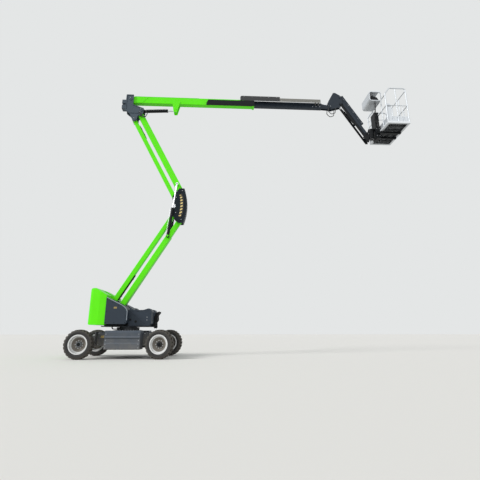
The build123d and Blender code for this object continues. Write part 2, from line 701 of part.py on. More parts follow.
def chain_levels():
    """Heights of the hose chain's lower and upper runs."""
    low = BOOM_MID_Z - BOOM_H / 2 + CHAIN_REST + SHEET + CHAIN_H / 2
    return low, low + 2 * CHAIN_R


def chain_tray():
    """Folded tray on the boom's right side that the hose chain lies in."""
    z0 = BOOM_MID_Z - BOOM_H / 2
    wall = [(TRAY_X0, z0), (BOOM_X1, z0), (BOOM_X1, z0 + TRAY_H), (TRAY_X0 + 60, z0 + TRAY_H)]
    tray = plate(wall, LANE_OUT - SHEET, LANE_OUT)
    side = -BOOM_W / 2 - SEAT
    tray += block(TRAY_X0, BOOM_X1 - 62, LANE_OUT + SEAT, side - SHEET - SEAT, z0, z0 + SHEET)
    tray += block(TRAY_X0, BOOM_X1 - 62, side - SHEET, side, z0, z0 + TRAY_LIP)
    return tray + block(BOOM_X1 - 62 + SEAT, BOOM_X1, LANE_OUT + SEAT, LANE_IN, z0, z0 + SHEET)


def chain_link(outer):
    """One link of the hose chain: two side plates and two crossbars."""
    reach = CHAIN_PITCH / 2 + 13
    half = CHAIN_W / 2 - (0 if outer else 5.6)
    h = CHAIN_H / 2
    side = plate([(-reach, -h + 14), (-reach + 14, -h), (reach - 14, -h), (reach, -h + 14), (reach, h - 14),
                  (reach - 14, h), (-reach + 14, h), (-reach, h - 14)], half - 5, half)
    link = both(side)
    for z in (-h + 3, h - 3):
        link += Pos(0, 0, z) * Box(18, 2 * half - 2, 6)
    return link


def hose_chain():
    """Drag chain for the hoses, round its bend from the tray to the telescoping section."""
    low, high = chain_levels()
    mid = (low + high) / 2
    turn = degrees(CHAIN_PITCH / CHAIN_R)
    bend = round(180 / turn)
    places = [(CHAIN_X + (k + 0.5) * CHAIN_PITCH, low, 0) for k in reversed(range(CHAIN_LOW))]
    for k in range(bend):
        a = 180 * (k + 0.5) / bend
        places.append((CHAIN_X - CHAIN_R * sin(radians(a)), mid - CHAIN_R * cos(radians(a)), a))
    places += [(CHAIN_X + (k + 0.5) * CHAIN_PITCH, high, 180) for k in range(CHAIN_TOP)]
    lane = (LANE_IN + LANE_OUT) / 2
    links = []
    for n, (x, z, a) in enumerate(places):
        links.append(Pos(x, lane, z) * Rot(0, a, 0) * chain_link(n % 2 == 0))
    return Compound(links)


def hose_guard():
    """Guard over the chain's upper run, carried back from the telescoping section's tip."""
    _, high = chain_levels()
    top = high + CHAIN_H / 2 + CLEAR + SHEET
    low = top - GUARD_H
    wall = outline([(GUARD_X0, low), (GUARD_X1, low), (GUARD_X1, top), (GUARD_X0, top)])
    wall = fillet(wall.vertices().filter_by(lambda v: v.X < GUARD_X0 + 1 and v.Y > low + 1), 60)
    guard = slab(wall, LANE_OUT - SHEET, LANE_OUT)
    side = LANE_OUT + SEAT
    guard += block(GUARD_X0 + 60, GUARD_X1, side, LANE_IN, top - SHEET, top)
    floor = high - CHAIN_H / 2 - CLEAR
    guard += block(GUARD_X1 - 60, RAIL_X1, side, LANE_IN, floor - SHEET, floor)
    guard += block(GUARD_X1 + SEAT, RAIL_X1, LANE_OUT - SHEET, LANE_OUT, floor - RAIL_SKIRT, floor + RAIL_LIP)
    inner = -INNER_W / 2 - SEAT
    foot = BOOM_MID_Z + INNER_H / 2 - 100
    for x in (RAIL_X1 - 160, RAIL_X1 - 60):
        arm = block(x, x + 30, side, inner, floor - 40, floor - SHEET - SEAT)
        guard += arm + block(x, x + 30, inner - 10, inner, foot, floor - 39)
    return guard


def jib_knuckle():
    """Levelled bracket at the boom tip that carries the jib."""
    y0, y1 = JIB_PLATE_Y, JIB_PLATE_Y + JIB_PLATE_T
    shape = [(TIP[0] - 60, TIP[1] - 20), (TIP[0] + 20, TIP[1] - 62), (JIB_EYE[0] + 60, JIB_EYE[1] - 60),
             (BAR_TOP[0] + 66, BAR_TOP[1] + 60), (JIB_TOP[0] + 70, JIB_TOP[1] - 30),
             (JIB_TOP[0] + 30, JIB_TOP[1] + 70), (JIB_TOP[0] - 150, JIB_TOP[1] + 180),
             (JIB_TOP[0] - 220, JIB_TOP[1] + 170), (LEVEL_EYE[0] - 30, LEVEL_EYE[1] + 60),
             (TIP[0] - 60, TIP[1] + 60)]
    body = pinned(both(plate(shape, y0, y1, 12)), (TIP,), PIN_R - 8, y1 + 6)
    body = pinned(body, (JIB_TOP,), PIN_R - 4, y1 + 6)
    half = y0 - SEAT
    stubs = shaft(BAR_TOP, 22, y1 + SEAT, JIB_BAR_Y + JIB_BAR_T + 6) + shaft(JIB_EYE, 20, 30, half)
    body += both(stubs + shaft(LEVEL_EYE, 18, 26, half))
    return body + block(JIB_TOP[0] - 205, JIB_TOP[0] - 150, -half, half, JIB_TOP[1] + 100, JIB_TOP[1] + 165)


def level_barrel():
    """Barrel of the platform levelling cylinder, inside the boom's end."""
    barrel = cylinder_barrel(LEVEL_BASE, LEVEL_EYE, LEVEL_BARREL, 17 + SEAT, 28, 0, 30, 60)
    return barrel - shaft(LEVEL_BASE, 20 + PIN_PLAY, -80, 80)


def level_rod():
    """Rod of the levelling cylinder."""
    return cylinder_rod(LEVEL_BASE, LEVEL_EYE, 150, 17, 0, 28, 44, 16)


def jib_arm():
    """Jib tube with its bosses and the hose channel along its upper side."""
    arm = eye_arm(JIB_TOP, JIB_ANGLE, JIB_LEN, JIB_H, JIB_W, JIB_BOSS_R, PIN_R - 4 + PIN_PLAY)
    arm += both(tilted(JIB_PIN, JIB_ANGLE, Pos(0, JIB_W / 2 - 8, 22) * Box(80, 14, 90)))
    return arm + both(shaft(JIB_PIN, 18, 16, JIB_W / 2 - 8))


def jib_channel():
    """Covered hose channel on the jib's upper side."""
    tube = box_tube(-30, CHANNEL_X1, CHANNEL_H, JIB_W - 20, 5, 10)
    return tilted(JIB_TOP, JIB_ANGLE, Pos(0, 0, JIB_BOSS_R + SEAT + CHANNEL_H / 2) * tube)


def jib_link():
    """Pair of bars that keep the platform level, with a tie between them."""
    bar = tilted(BAR_TOP, JIB_ANGLE, Pos(JIB_LEN / 2, JIB_BAR_Y + JIB_BAR_T / 2, 0)
                 * Box(JIB_LEN, JIB_BAR_T, JIB_BAR_H))
    for p in (BAR_TOP, BAR_FOOT):
        bar += shaft(p, JIB_BAR_H / 2, JIB_BAR_Y, JIB_BAR_Y + JIB_BAR_T)
    for p in (BAR_TOP, BAR_FOOT):
        bar -= shaft(p, 22 + PIN_PLAY, 0, 200)
    pair = both(bar)
    tie = Box(30, 2 * (JIB_BAR_Y - SEAT), 16)
    return pair + tilted(BAR_TOP, JIB_ANGLE, Pos(1380, 0, -20) * tie)


def jib_barrel():
    """Barrel of the jib cylinder, pinned under the jib."""
    barrel = cylinder_barrel(JIB_PIN, JIB_EYE, JIB_BARREL, 16 + SEAT, 30, 0, 32, 56)
    return barrel - shaft(JIB_PIN, 18 + PIN_PLAY, -80, 80)


def jib_rod():
    """Rod of the jib cylinder, up to the boom tip bracket."""
    return cylinder_rod(JIB_PIN, JIB_EYE, 380, 16, 0, 28, 44, 18)


def jib_head():
    """Bracket at the jib's foot with the rotary actuator's housing."""
    y0, y1 = JIB_PLATE_Y, JIB_PLATE_Y + JIB_PLATE_T
    shape = [(JIB_FOOT[0] - 60, JIB_FOOT[1] + 20), (JIB_FOOT[0] - 20, JIB_FOOT[1] + 62),
             (ROTATOR_X, ROTATOR_Z1 - 60), (ROTATOR_X, ROTATOR_Z0 + 30),
             (BAR_FOOT[0] + 60, ROTATOR_Z0 + 30), (BAR_FOOT[0] + 40, BAR_FOOT[1] - 50),
             (BAR_FOOT[0] - 50, BAR_FOOT[1] - 10)]
    sides = both(plate(shape, y0, y1, 8))
    sides -= post(ROTATOR_X, 0, ROTATOR_R + SEAT, ROTATOR_Z0 - 1, ROTATOR_Z1 + 1)
    body = pinned(sides, (JIB_FOOT,), PIN_R - 4, y1 + 6)
    body += both(shaft(BAR_FOOT, 22, y1 + SEAT, JIB_BAR_Y + JIB_BAR_T + 6))
    return body + post(ROTATOR_X, 0, ROTATOR_R, ROTATOR_Z0, ROTATOR_Z1)


def platform_mount():
    """Bracket from the actuator's turning ends up to the platform and under its floor."""
    x0, x1 = ROTATOR_X + MOUNT_X, DECK_X0 - SEAT
    half = MOUNT_Y
    mount = block(x0, x1, -half, half, ROTATOR_Z0 - 40, ROTATOR_Z1 - 10 + MOUNT_H)
    for z in (ROTATOR_Z0 - 24 - SEAT, ROTATOR_Z1 + SEAT):
        mount += block(ROTATOR_X, x0 - SEAT, -80, 80, z, z + 24) + post(ROTATOR_X, 0, 84, z, z + 24)
    low = FLOOR_Z - SEAT
    return mount + both(block(x0 + 30, DECK_X1 - 60, half + SEAT, half + 60, low - 70, low))


def platform_floor():
    """Floor frame with cross members under an open mesh deck."""
    z1 = FLOOR_Z + FLOOR_T
    y = PLAT_Y
    frame = block(DECK_X0, DECK_X1, -y, y, FLOOR_Z, z1)
    frame -= block(DECK_X0 + 30, DECK_X1 - 30, -y + 30, y - 30, FLOOR_Z - 1, z1 + 1)
    for k in range(1, 6):
        at = -y + 2 * y * k / 6
        frame += block(DECK_X0 + 10, DECK_X1 - 10, at - 15, at + 15, FLOOR_Z, z1 - 12)
    frame += block(DECK_X0 + 10, DECK_X1 - 10, -y + 10, y - 10, z1 - 12, z1 - 6)
    return frame


def bent_rail(points, r, bend):
    """A round tube bent through points."""
    path = FilletPolyline(*points, radius=bend)
    start = Plane(origin=path @ 0, x_dir=(1, 1, 0), z_dir=path % 0)
    return sweep(start * Circle(r), path=path)


def rail_limits():
    """Centre lines of the guard rails at the platform's edges."""
    return DECK_X0 + RAIL_R, DECK_X1 - RAIL_R, PLAT_Y - RAIL_R


def platform_hoops():
    """Bent tube over each side of the platform, sloping at the rear."""
    z0 = FLOOR_Z + FLOOR_T + SEAT
    z1 = FLOOR_Z + FLOOR_T + RAIL_H
    x0, x1, y = rail_limits()
    hoops = []
    for side in (-y, y):
        points = [(x0, side, z0), (x0, side, z1 - RAIL_SLOPE), (x0 + 0.7 * RAIL_SLOPE, side, z1), (x1, side, z1),
                  (x1, side, z0)]
        hoops.append(bent_rail(points, RAIL_R, RAIL_BEND))
    return Compound(hoops)


def platform_rails():
    """Cross rails coped to the hoops, mid rail, posts and uprights."""
    z0 = FLOOR_Z + FLOOR_T + SEAT
    z1 = FLOOR_Z + FLOOR_T + RAIL_H
    mid = FLOOR_Z + FLOOR_T + MID_RAIL
    x0, x1, y = rail_limits()
    xm = (x0 + x1) / 2
    rear, front = z1 - RAIL_SLOPE - 30, z1 - RAIL_BEND - 12
    ends = [post(x, side, RAIL_R + SEAT, z0, z1) for x in (x0, x1) for side in (-y, y)]
    uprights = [(x1, k * y / 3, front) for k in (-1, 1)] + [(x0, k * y * 0.55, rear) for k in (-1, 1)]
    holes = [post(x, at, POST_R + SEAT, z0, z - GATE_R) for x, at, z in uprights]
    posts = [post(x, at, POST_R, z0, z - GATE_R - SEAT) for x, at, z in uprights]
    posts.append(post(xm, -y, POST_R, z0, z1 - RAIL_R - SEAT))
    holes.append(post(xm, -y, POST_R + SEAT, z0, z1))
    low = mid - GATE_R - SEAT
    posts += [post(x0 + (x1 - x0) * k, -y, UPRIGHT_R, z0, low) for k in (0.25, 0.75)]
    posts += [post(x1, k * y, UPRIGHT_R, z0, low) for k in (-2 / 3, 0, 2 / 3)]
    across = Rot(90, 0, 0) * Cylinder(GATE_R, 2 * y)
    bars = [Pos(x, 0, z) * across for x, top in ((x0, rear), (x1, front)) for z in (top, mid)]
    bars.append(Pos(xm, -y, mid) * (Rot(0, 90, 0) * Cylinder(GATE_R, x1 - x0)))
    rails = list(posts)
    for bar in bars:
        rails += (bar - ends - holes).solids()
    return Compound(rails)


def platform_gate():
    """Entry gate on the left side, hung on rings round the rear post, opening inward."""
    z0 = FLOOR_Z + FLOOR_T + TOE_H + 30
    z1 = FLOOR_Z + FLOOR_T + RAIL_H - RAIL_SLOPE - 70
    r0, r1, y = rail_limits()
    x0, x1 = r0 + GATE_GAP, r1 - 50
    gate = [post(x, y, GATE_R, z0, z1) for x in (x0, x1)] + [post((x0 + x1) / 2, y, UPRIGHT_R, z0, z1)]
    for z in (z0, (z0 + z1) / 2, z1):
        gate.append(Pos((x0 + x1) / 2, y, z) * (Rot(0, 90, 0) * Cylinder(GATE_R - 2, x1 - x0)))
    for z in (z0 + 80, z1 - 80):
        ring = post(r0, y, RAIL_R + 10, z - 20, z + 20) + block(r0, x0, y - 6, y + 6, z - 14, z + 14)
        gate.append(ring - post(r0, y, RAIL_R + SEAT, z - 30, z + 30))
    return gate[0] + gate[1:]


def toe_boards():
    """Upstand boards round the floor's edge and a taller panel at the right rear corner."""
    z0 = FLOOR_Z + FLOOR_T + SEAT
    z1 = z0 + TOE_H
    x0, x1, y = DECK_X0 + 2 * RAIL_R + SEAT, DECK_X1 - 2 * RAIL_R - SEAT, PLAT_Y
    y1 = y - RAIL_R - POST_R - SEAT
    boards = both(block(x0, x1, y1 - 6, y1, z0, z1))
    half = y1 - 6 - SEAT
    boards += block(x1 - 6, x1, -half, half, z0, z1) + block(x0, x0 + 6, -half, half, z0, z1)
    z2 = z1 + SEAT
    panel = outline([(x0, z2), (x0 + 130, z2), (x0 + 130, z0 + 640), (x0, z0 + 640)])
    panel = fillet(panel.vertices().filter_by(lambda v: v.Y > z2 + 1), 40)
    return boards + slab(panel, -y1, -y1 + 6)


def hood_frame():
    """Limits of the console hood: rear rail face, bottom and top."""
    top = FLOOR_Z + FLOOR_T + RAIL_H + RAIL_R
    return DECK_X0 + RAIL_R - GATE_R - SEAT, top - HOOD_H, top


def console_hood():
    """Sheet hood round the control box, with a rounded tube hoop at each end."""
    x1, z0, z1 = hood_frame()
    loop = outline([(HOOD_X0, z0), (x1, z0), (x1, z1), (HOOD_X0, z1)], 70)
    sheet = slab(loop - offset(loop, -SHEET), HOOD_Y0 + 12 + SEAT, HOOD_Y1 - 12 - SEAT)
    sheet -= block(x1 - 60, x1 + 1, HOOD_Y0 - 1, HOOD_Y1 + 1, z0 - 1, z1 + 1)
    hoop = loop - offset(loop, -24)
    return sheet + slab(hoop, HOOD_Y0 - 12, HOOD_Y0 + 12) + slab(hoop, HOOD_Y1 - 12, HOOD_Y1 + 12)


def console():
    """Platform control box with its sloping panel, standing in the hood."""
    x1, z0, _ = hood_frame()
    x0, z = HOOD_X0 + 70, z0 + SHEET + SEAT
    shape = [(x0, z), (x1 - 80, z), (x1 - 70, z + 70), (x1 - 130, z + 170), (x0 + 20, z + 215), (x0, z + 190)]
    return plate(shape, HOOD_Y0 + 60, HOOD_Y1 - 40, 10)


def tube_along(points, r, bends):
    """A round hose along straight runs and bends."""
    path = FilletPolyline(*points, radius=bends)
    start = Plane(origin=path @ 0, z_dir=path % 0)
    return sweep(start * Circle(r), path=path)


def console_cable():
    """Control cables from the hood's underside to the platform bracket."""
    _, z0, _ = hood_frame()
    cables = []
    for k in range(3):
        y, drop = HOOD_Y0 + 60 + 45 * k, 30 * k
        side = -MOUNT_Y - HOSE_R - SEAT
        x, z = ROTATOR_X, ROTATOR_Z1 - drop
        route = [(x + 45 + 30 * k, y, z0 - HOSE_R / 2), (x + 30 + 20 * k, y, z0 - 260 - drop),
                 (x + 65, -230 + 10 * k, z + 320), (x + 170 + 26 * k, side - 4, z + 200),
                 (x + 170 + 26 * k, side, z + 70)]
        cables.append(tube_along(route, HOSE_R, 40))
    return Compound(cables)


def tip_hoses():
    """Hoses that loop below the boom tip bracket."""
    hoses = []
    for side in (-1, 1):
        y = side * (JIB_PLATE_Y + JIB_PLATE_T + HOSE_R + SEAT)
        x, z = TIP
        route = [(x - 55, y, z + 20), (x - 80, y, z - 150), (x + 20, y, z - 260), (x + 150, y, z - 210),
                 (x + 175, y, z - 20)]
        hoses.append(tube_along(route, HOSE_R, 60))
    return Compound(hoses)


def carrier_hoses():
    """Hoses that loop below the head casting."""
    hoses = []
    for k in range(2):
        y = -CHEEK_Y - 20 - 14 - HOSE_R - SEAT - (2 * HOSE_R + SEAT) * k
        x, z = C1
        route = [(x - 40, y, z + 60), (x + 30, y, z - 60 - 40 * k), (x + 170, y, z - 130 - 40 * k),
                 (x + 235, y, z + 10), (x + 120, y, z + 120)]
        hoses.append(tube_along(route, HOSE_R, 55))
    return Compound(hoses)


def slew_hoses():
    """Hoses that hang in a loop at the slewing ring and go up under the turntable."""
    z = DECK_Z + RING_H + CLEAR
    hoses = []
    for k in range(3):
        y = -335 - HOSE_R - (2 * HOSE_R + SEAT) * k
        end = SKIRT_Z - SEAT
        route = [(-120, y, end), (-120, y, z - 50), (-340, y, z - 58), (-340, y, end)]
        hoses.append(tube_along(route, HOSE_R, 50))
    return Compound(hoses)


def elbow_hoses():
    """Hoses that run up the elbow beside the pins."""
    hoses = []
    for side in (-1, 1):
        y = side * (ELBOW_Y + ELBOW_T + HOSE_R + SEAT)
        route = [(A1[0] + 30, y, A1[1] + 70), (A1[0] + 90, y, A1[1] + 210), (A1[0] + 105, y, A1[1] + 450),
                 (C0[0] + 90, y, C0[1] - 210), (C0[0] + 30, y, C0[1] - 70)]
        hoses.append(tube_along(route, HOSE_R, 90))
    return Compound(hoses)


PARTS = {
    "chassis_frame": chassis_frame(),
    "side_covers": side_covers(),
    "front_axle": front_axle(),
    "rear_axle": rear_axle(),
    "knuckle_right": knuckle(-1),
    "knuckle_left": knuckle(1),
    "tie_rod": tie_rod(),
    "slew_ring": slew_ring(),
    "turntable_frame": turntable_frame(),
    "counterweight": counterweight(),
    "turntable_covers": turntable_covers(),
    "front_housings": front_housings(),
    "boom_rest": boom_rest(),
    "lower_arm": lower_arm(),
    "lower_link": lower_link(),
    "elbow_plates": elbow_plates(),
    "elbow_cover": elbow_cover(),
    "riser_barrels": riser_barrels(),
    "riser_rods": riser_rods(),
    "upper_arm": upper_arm(),
    "upper_link": upper_link(),
    "carrier": carrier(),
    "luff_barrel": luff_barrel(),
    "luff_rod": luff_rod(),
    "main_boom": main_boom(),
    "inner_boom": inner_boom(),
    "chain_tray": chain_tray(),
    "hose_chain": hose_chain(),
    "hose_guard": hose_guard(),
    "jib_knuckle": jib_knuckle(),
    "level_barrel": level_barrel(),
    "level_rod": level_rod(),
    "jib_arm": jib_arm(),
    "jib_channel": jib_channel(),
    "jib_link": jib_link(),
    "jib_barrel": jib_barrel(),
    "jib_rod": jib_rod(),
    "jib_head": jib_head(),
    "platform_mount": platform_mount(),
    "platform_floor": platform_floor(),
    "platform_hoops": platform_hoops(),
    "platform_rails": platform_rails(),
    "platform_gate": platform_gate(),
    "toe_boards": toe_boards(),
    "console": console(),
    "console_hood": console_hood(),
    "console_cable": console_cable(),
    "tip_hoses": tip_hoses(),
    "carrier_hoses": carrier_hoses(),
    "slew_hoses": slew_hoses(),
    "elbow_hoses": elbow_hoses(),
}
TYRE = tyre_blank()
for front, end in ((True, "front"), (False, "rear")):
    RIM = rim_blank(not front)
    for side, hand in ((-1, "right"), (1, "left")):
        PARTS[f"tyre_{end}_{hand}"] = on_wheel(TYRE, front, side)
        PARTS[f"rim_{end}_{hand}"] = on_wheel(RIM, front, side)

os.makedirs("parts", exist_ok=True)
for name, solid in PARTS.items():
    export_step(solid, f"parts/{name}.step")
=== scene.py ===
import json
import math
import bmesh
import bpy
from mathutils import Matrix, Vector


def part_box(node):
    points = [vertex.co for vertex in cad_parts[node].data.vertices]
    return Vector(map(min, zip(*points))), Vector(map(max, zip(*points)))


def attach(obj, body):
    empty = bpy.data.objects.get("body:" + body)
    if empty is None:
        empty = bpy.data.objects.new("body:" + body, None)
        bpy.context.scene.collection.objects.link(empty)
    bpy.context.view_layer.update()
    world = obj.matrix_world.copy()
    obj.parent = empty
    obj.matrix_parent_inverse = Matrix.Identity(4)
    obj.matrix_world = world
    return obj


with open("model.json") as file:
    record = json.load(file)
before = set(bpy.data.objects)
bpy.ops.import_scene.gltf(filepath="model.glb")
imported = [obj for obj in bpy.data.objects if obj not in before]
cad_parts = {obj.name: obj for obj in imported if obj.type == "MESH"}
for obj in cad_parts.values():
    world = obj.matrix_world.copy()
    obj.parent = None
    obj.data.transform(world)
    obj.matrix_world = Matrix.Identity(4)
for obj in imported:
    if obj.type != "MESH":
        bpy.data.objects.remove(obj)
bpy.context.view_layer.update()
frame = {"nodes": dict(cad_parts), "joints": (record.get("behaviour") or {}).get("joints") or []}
nodes = frame["nodes"]

# Chassis: a welded steel box with deck ring, necks and lashing lugs, between two box
# axles, primed and sprayed dark slate, dusty low down. Plated bolts, weld beads and a
# blank plate sit on its sides.


class Shade:
    """A shader value that takes part in plain arithmetic."""

    def __init__(self, tree, socket):
        self.tree = tree
        self.socket = socket

    def make(self, kind, settings=None, values=None, out=0):
        """Adds a node: its settings first, then its inputs; gives one of its outputs."""
        node = self.tree.nodes.new(kind)
        for key, value in (settings or {}).items():
            setattr(node, key, value)
        for key, value in (values or {}).items():
            if isinstance(value, Shade):
                self.tree.links.new(value.socket, node.inputs[key])
            else:
                node.inputs[key].default_value = value
        return Shade(self.tree, node.outputs[out])

    def maths(self, operation, first, second=0.0):
        return self.make("ShaderNodeMath", {"operation": operation}, {0: first, 1: second})

    def __add__(self, other):
        return self.maths("ADD", self, other)

    def __radd__(self, other):
        return self.maths("ADD", other, self)

    def __sub__(self, other):
        return self.maths("SUBTRACT", self, other)

    def __rsub__(self, other):
        return self.maths("SUBTRACT", other, self)

    def __mul__(self, other):
        return self.maths("MULTIPLY", self, other)

    def __rmul__(self, other):
        return self.maths("MULTIPLY", other, self)

    def __truediv__(self, other):
        return self.maths("DIVIDE", self, other)

    def __gt__(self, other):
        return self.maths("GREATER_THAN", self, other)

    def __lt__(self, other):
        return self.maths("LESS_THAN", self, other)

    def clamped(self):
        return self.make("ShaderNodeClamp", None, {"Value": self})

    def noise(self, scale, detail=3.0):
        values = {"Vector": self, "Scale": scale, "Detail": detail, "Roughness": 0.55}
        return self.make("ShaderNodeTexNoise", None, values)

    def axis(self, name):
        return self.make("ShaderNodeSeparateXYZ", None, {"Vector": self}, "XYZ".index(name))

    def tint(self, low, high):
        """Mixes two colours by this value."""
        values = {"Factor": self, 6: low, 7: high}
        return self.make("ShaderNodeMix", {"data_type": "RGBA"}, values, 2)


def linear(red, green, blue):
    """A screen colour, 0 to 255, as the shader's linear colour."""
    def one(v):
        v = v / 255
        return v / 12.92 if v <= 0.04045 else ((v + 0.055) / 1.055) ** 2.4
    return (one(red), one(green), one(blue), 1.0)


def shaded(colour, by):
    return tuple(min(1.0, c * by) for c in colour[:3]) + (1.0,)


def new_finish(name):
    """An empty material: itself, its main shader and its Object coordinates."""
    material = bpy.data.materials.new(name)
    material.use_nodes = True
    shader = material.node_tree.nodes["Principled BSDF"]
    coords = material.node_tree.nodes.new("ShaderNodeTexCoord")
    return material, shader, Shade(material.node_tree, coords.outputs["Object"])


def set_input(shader, name, value):
    if isinstance(value, Shade):
        value.tree.links.new(value.socket, shader.inputs[name])
    else:
        shader.inputs[name].default_value = value


def bumped(shader, height, strength, distance):
    values = {"Height": height, "Strength": strength, "Distance": distance}
    set_input(shader, "Normal", height.make("ShaderNodeBump", None, values))


DUST = linear(150, 140, 124)


def spray_paint(name, colour, roughness, coat, dust=0.0, dust_top=0.9, gloss=0.25):
    """Sprayed paint: faint cloudiness, orange peel, and dust that thins out upwards."""
    material, shader, place = new_finish(name)
    base = place.noise(2.2).tint(shaded(colour, 0.9), shaded(colour, 1.08))
    dull = place.noise(9.0, 4.0) * 0.16 + (roughness - 0.08)
    if dust:
        low = ((dust_top - place.axis("Z")) / dust_top).clamped()
        grime = (low * place.noise(6.0, 5.0) * dust * 1.6).clamped()
        base = grime.tint(base, DUST)
        dull = dull + grime * 0.4
    set_input(shader, "Base Color", base)
    set_input(shader, "Roughness", dull.clamped())
    set_input(shader, "Specular IOR Level", gloss)
    set_input(shader, "Coat Weight", coat)
    set_input(shader, "Coat Roughness", 0.12)
    bumped(shader, place.noise(120.0, 1.0), 0.03, 0.002)
    return material


def dress(material, *names):
    """Gives CAD pieces their finish."""
    for name in names:
        nodes[name].data.materials.clear()
        nodes[name].data.materials.append(material)


slate_paint = spray_paint("slate_paint", linear(56, 66, 77), 0.42, 0.05, dust=0.7)
dress(slate_paint, "chassis_frame", "front_axle", "rear_axle", "turntable_frame")
black_paint = spray_paint("black_paint", linear(22, 24, 26), 0.42, 0.02, gloss=0.1)
dress(black_paint, "knuckle_right", "knuckle_left", "tie_rod")

BLOCK_FACES = [(0, 1, 3, 2), (4, 6, 7, 5), (0, 4, 5, 1), (2, 3, 7, 6), (0, 2, 6, 4), (1, 5, 7, 3)]


def box_shape(x0, x1, y0, y1, z0, z1):
    """Corners and faces of a straight block."""
    return [(x, y, z) for x in (x0, x1) for y in (y0, y1) for z in (z0, z1)], BLOCK_FACES


def tube_shape(points, radius, sides=10):
    """A round bar along a row of points, closed at both ends."""
    points = [Vector(p) for p in points]
    corners, faces = [], []
    for i, here in enumerate(points):
        before = points[max(i - 1, 0)]
        after = points[min(i + 1, len(points) - 1)]
        along = (after - before).normalized()
        across = along.orthogonal() if i == 0 else (across - along * across.dot(along))
        across = across.normalized()
        other = along.cross(across)
        for k in range(sides):
            turn = 2 * math.pi * k / sides
            corners.append(here + (across * math.cos(turn) + other * math.sin(turn)) * radius)
    for i in range(len(points) - 1):
        for k in range(sides):
            a, b = i * sides + k, i * sides + (k + 1) % sides
            faces.append((a, b, b + sides, a + sides))
    last = (len(points) - 1) * sides
    faces += [tuple(range(sides - 1, -1, -1)), tuple(range(last, last + sides))]
    return corners, faces


def mount(name, mesh, body):
    """Puts a finished mesh on a body."""
    piece = bpy.data.objects.new(name, mesh)
    bpy.context.scene.collection.objects.link(piece)
    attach(piece, body)


SHARP = 0.6


def add_piece(name, shapes, material, body, bevel=0.0):
    """Joins shapes into one piece that rides on a body."""
    corners, faces = [], []
    for some_corners, some_faces in shapes:
        start = len(corners)
        corners += [tuple(c) for c in some_corners]
        faces += [tuple(i + start for i in face) for face in some_faces]
    mesh = bpy.data.meshes.new(name)
    mesh.from_pydata(corners, [], faces)
    work = bmesh.new()
    work.from_mesh(mesh)
    bmesh.ops.recalc_face_normals(work, faces=work.faces)
    if bevel:
        sharp = [e for e in work.edges if len(e.link_faces) == 2 and e.calc_face_angle() > SHARP]
        bmesh.ops.bevel(work, geom=sharp, offset=bevel, segments=2, profile=0.5, affect="EDGES",
                        clamp_overlap=True)
    work.to_mesh(mesh)
    work.free()
    mesh.materials.append(material)
    mount(name, mesh, body)


def pattern_tree(name, spots, size, size_kind):
    """An empty Geometry Nodes tree: itself, its inputs and a function that adds a node."""
    tree = bpy.data.node_groups.new(name, "GeometryNodeTree")
    for label, kind in ((spots, "Geometry"), (size, size_kind), ("Finish", "Material")):
        tree.interface.new_socket(label, in_out="INPUT", socket_type="NodeSocket" + kind)
    tree.interface.new_socket("Pieces", in_out="OUTPUT", socket_type="NodeSocketGeometry")

    def node(kind, settings=None, values=None):
        one = tree.nodes.new(kind)
        for key, value in (settings or {}).items():
            setattr(one, key, value)
        for key, value in (values or {}).items():
            if isinstance(value, bpy.types.NodeSocket):
                tree.links.new(value, one.inputs[key])
            else:
                one.inputs[key].default_value = value
        return one

    return tree, node("NodeGroupInput").outputs, node


def end_pattern(node, placed, finish):
    """Closes a pattern: real copies in one finish."""
    real = node("GeometryNodeRealizeInstances", None, {0: placed.outputs[0]})
    painted = node("GeometryNodeSetMaterial", None,
                   {"Geometry": real.outputs[0], "Material": finish})
    node("NodeGroupOutput", None, {0: painted.outputs[0]})


def bolt_tree():
    """Geometry Nodes that set a hexagon head on a washer at each point, along its facing."""
    tree, given, node = pattern_tree("bolt_pattern", "Spots", "Head Height", "Float")
    height = given["Head Height"]
    head = node("GeometryNodeMeshCylinder", None, {"Vertices": 6, "Radius": 0.78, "Depth": height})
    lift = node("ShaderNodeMath", {"operation": "MULTIPLY"}, {0: height, 1: 0.5})
    rise = node("ShaderNodeCombineXYZ", None, {"Z": lift.outputs[0]})
    raised = node("GeometryNodeTransform", None,
                  {"Geometry": head.outputs["Mesh"], "Translation": rise.outputs[0]})
    washer = node("GeometryNodeMeshCylinder", None, {"Vertices": 12, "Radius": 1.0, "Depth": 0.3})
    shape = node("GeometryNodeJoinGeometry")
    tree.links.new(raised.outputs[0], shape.inputs[0])
    tree.links.new(washer.outputs["Mesh"], shape.inputs[0])
    facing = node("GeometryNodeInputNamedAttribute", {"data_type": "FLOAT_VECTOR"},
                  {"Name": "facing"})
    size = node("GeometryNodeInputNamedAttribute", {"data_type": "FLOAT"}, {"Name": "size"})
    turn = node("FunctionNodeAlignRotationToVector", {"axis": "Z"}, {"Vector": facing.outputs[0]})
    placed = node("GeometryNodeInstanceOnPoints", None,
                  {"Points": given["Spots"], "Instance": shape.outputs[0],
                   "Rotation": turn.outputs[0], "Scale": size.outputs[0]})
    end_pattern(node, placed, given["Finish"])
    return tree


BOLT_PATTERN = bolt_tree()


def lay_pattern(name, body, mesh, tree, inputs, material):
    """Makes one plain piece on a body from points and a pattern."""
    seed = bpy.data.objects.new(name + "_spots", mesh)
    bpy.context.scene.collection.objects.link(seed)
    pattern = seed.modifiers.new("pattern", "NODES")
    pattern.node_group = tree
    for item in tree.interface.items_tree:
        if item.name == "Finish":
            pattern[item.identifier] = material
        elif item.name in inputs:
            pattern[item.identifier] = inputs[item.name]
    ready = seed.evaluated_get(bpy.context.evaluated_depsgraph_get())
    plain = bpy.data.meshes.new_from_object(ready)
    plain.name = name
    plain.materials.clear()
    plain.materials.append(material)
    bpy.data.objects.remove(seed)
    mount(name, plain, body)


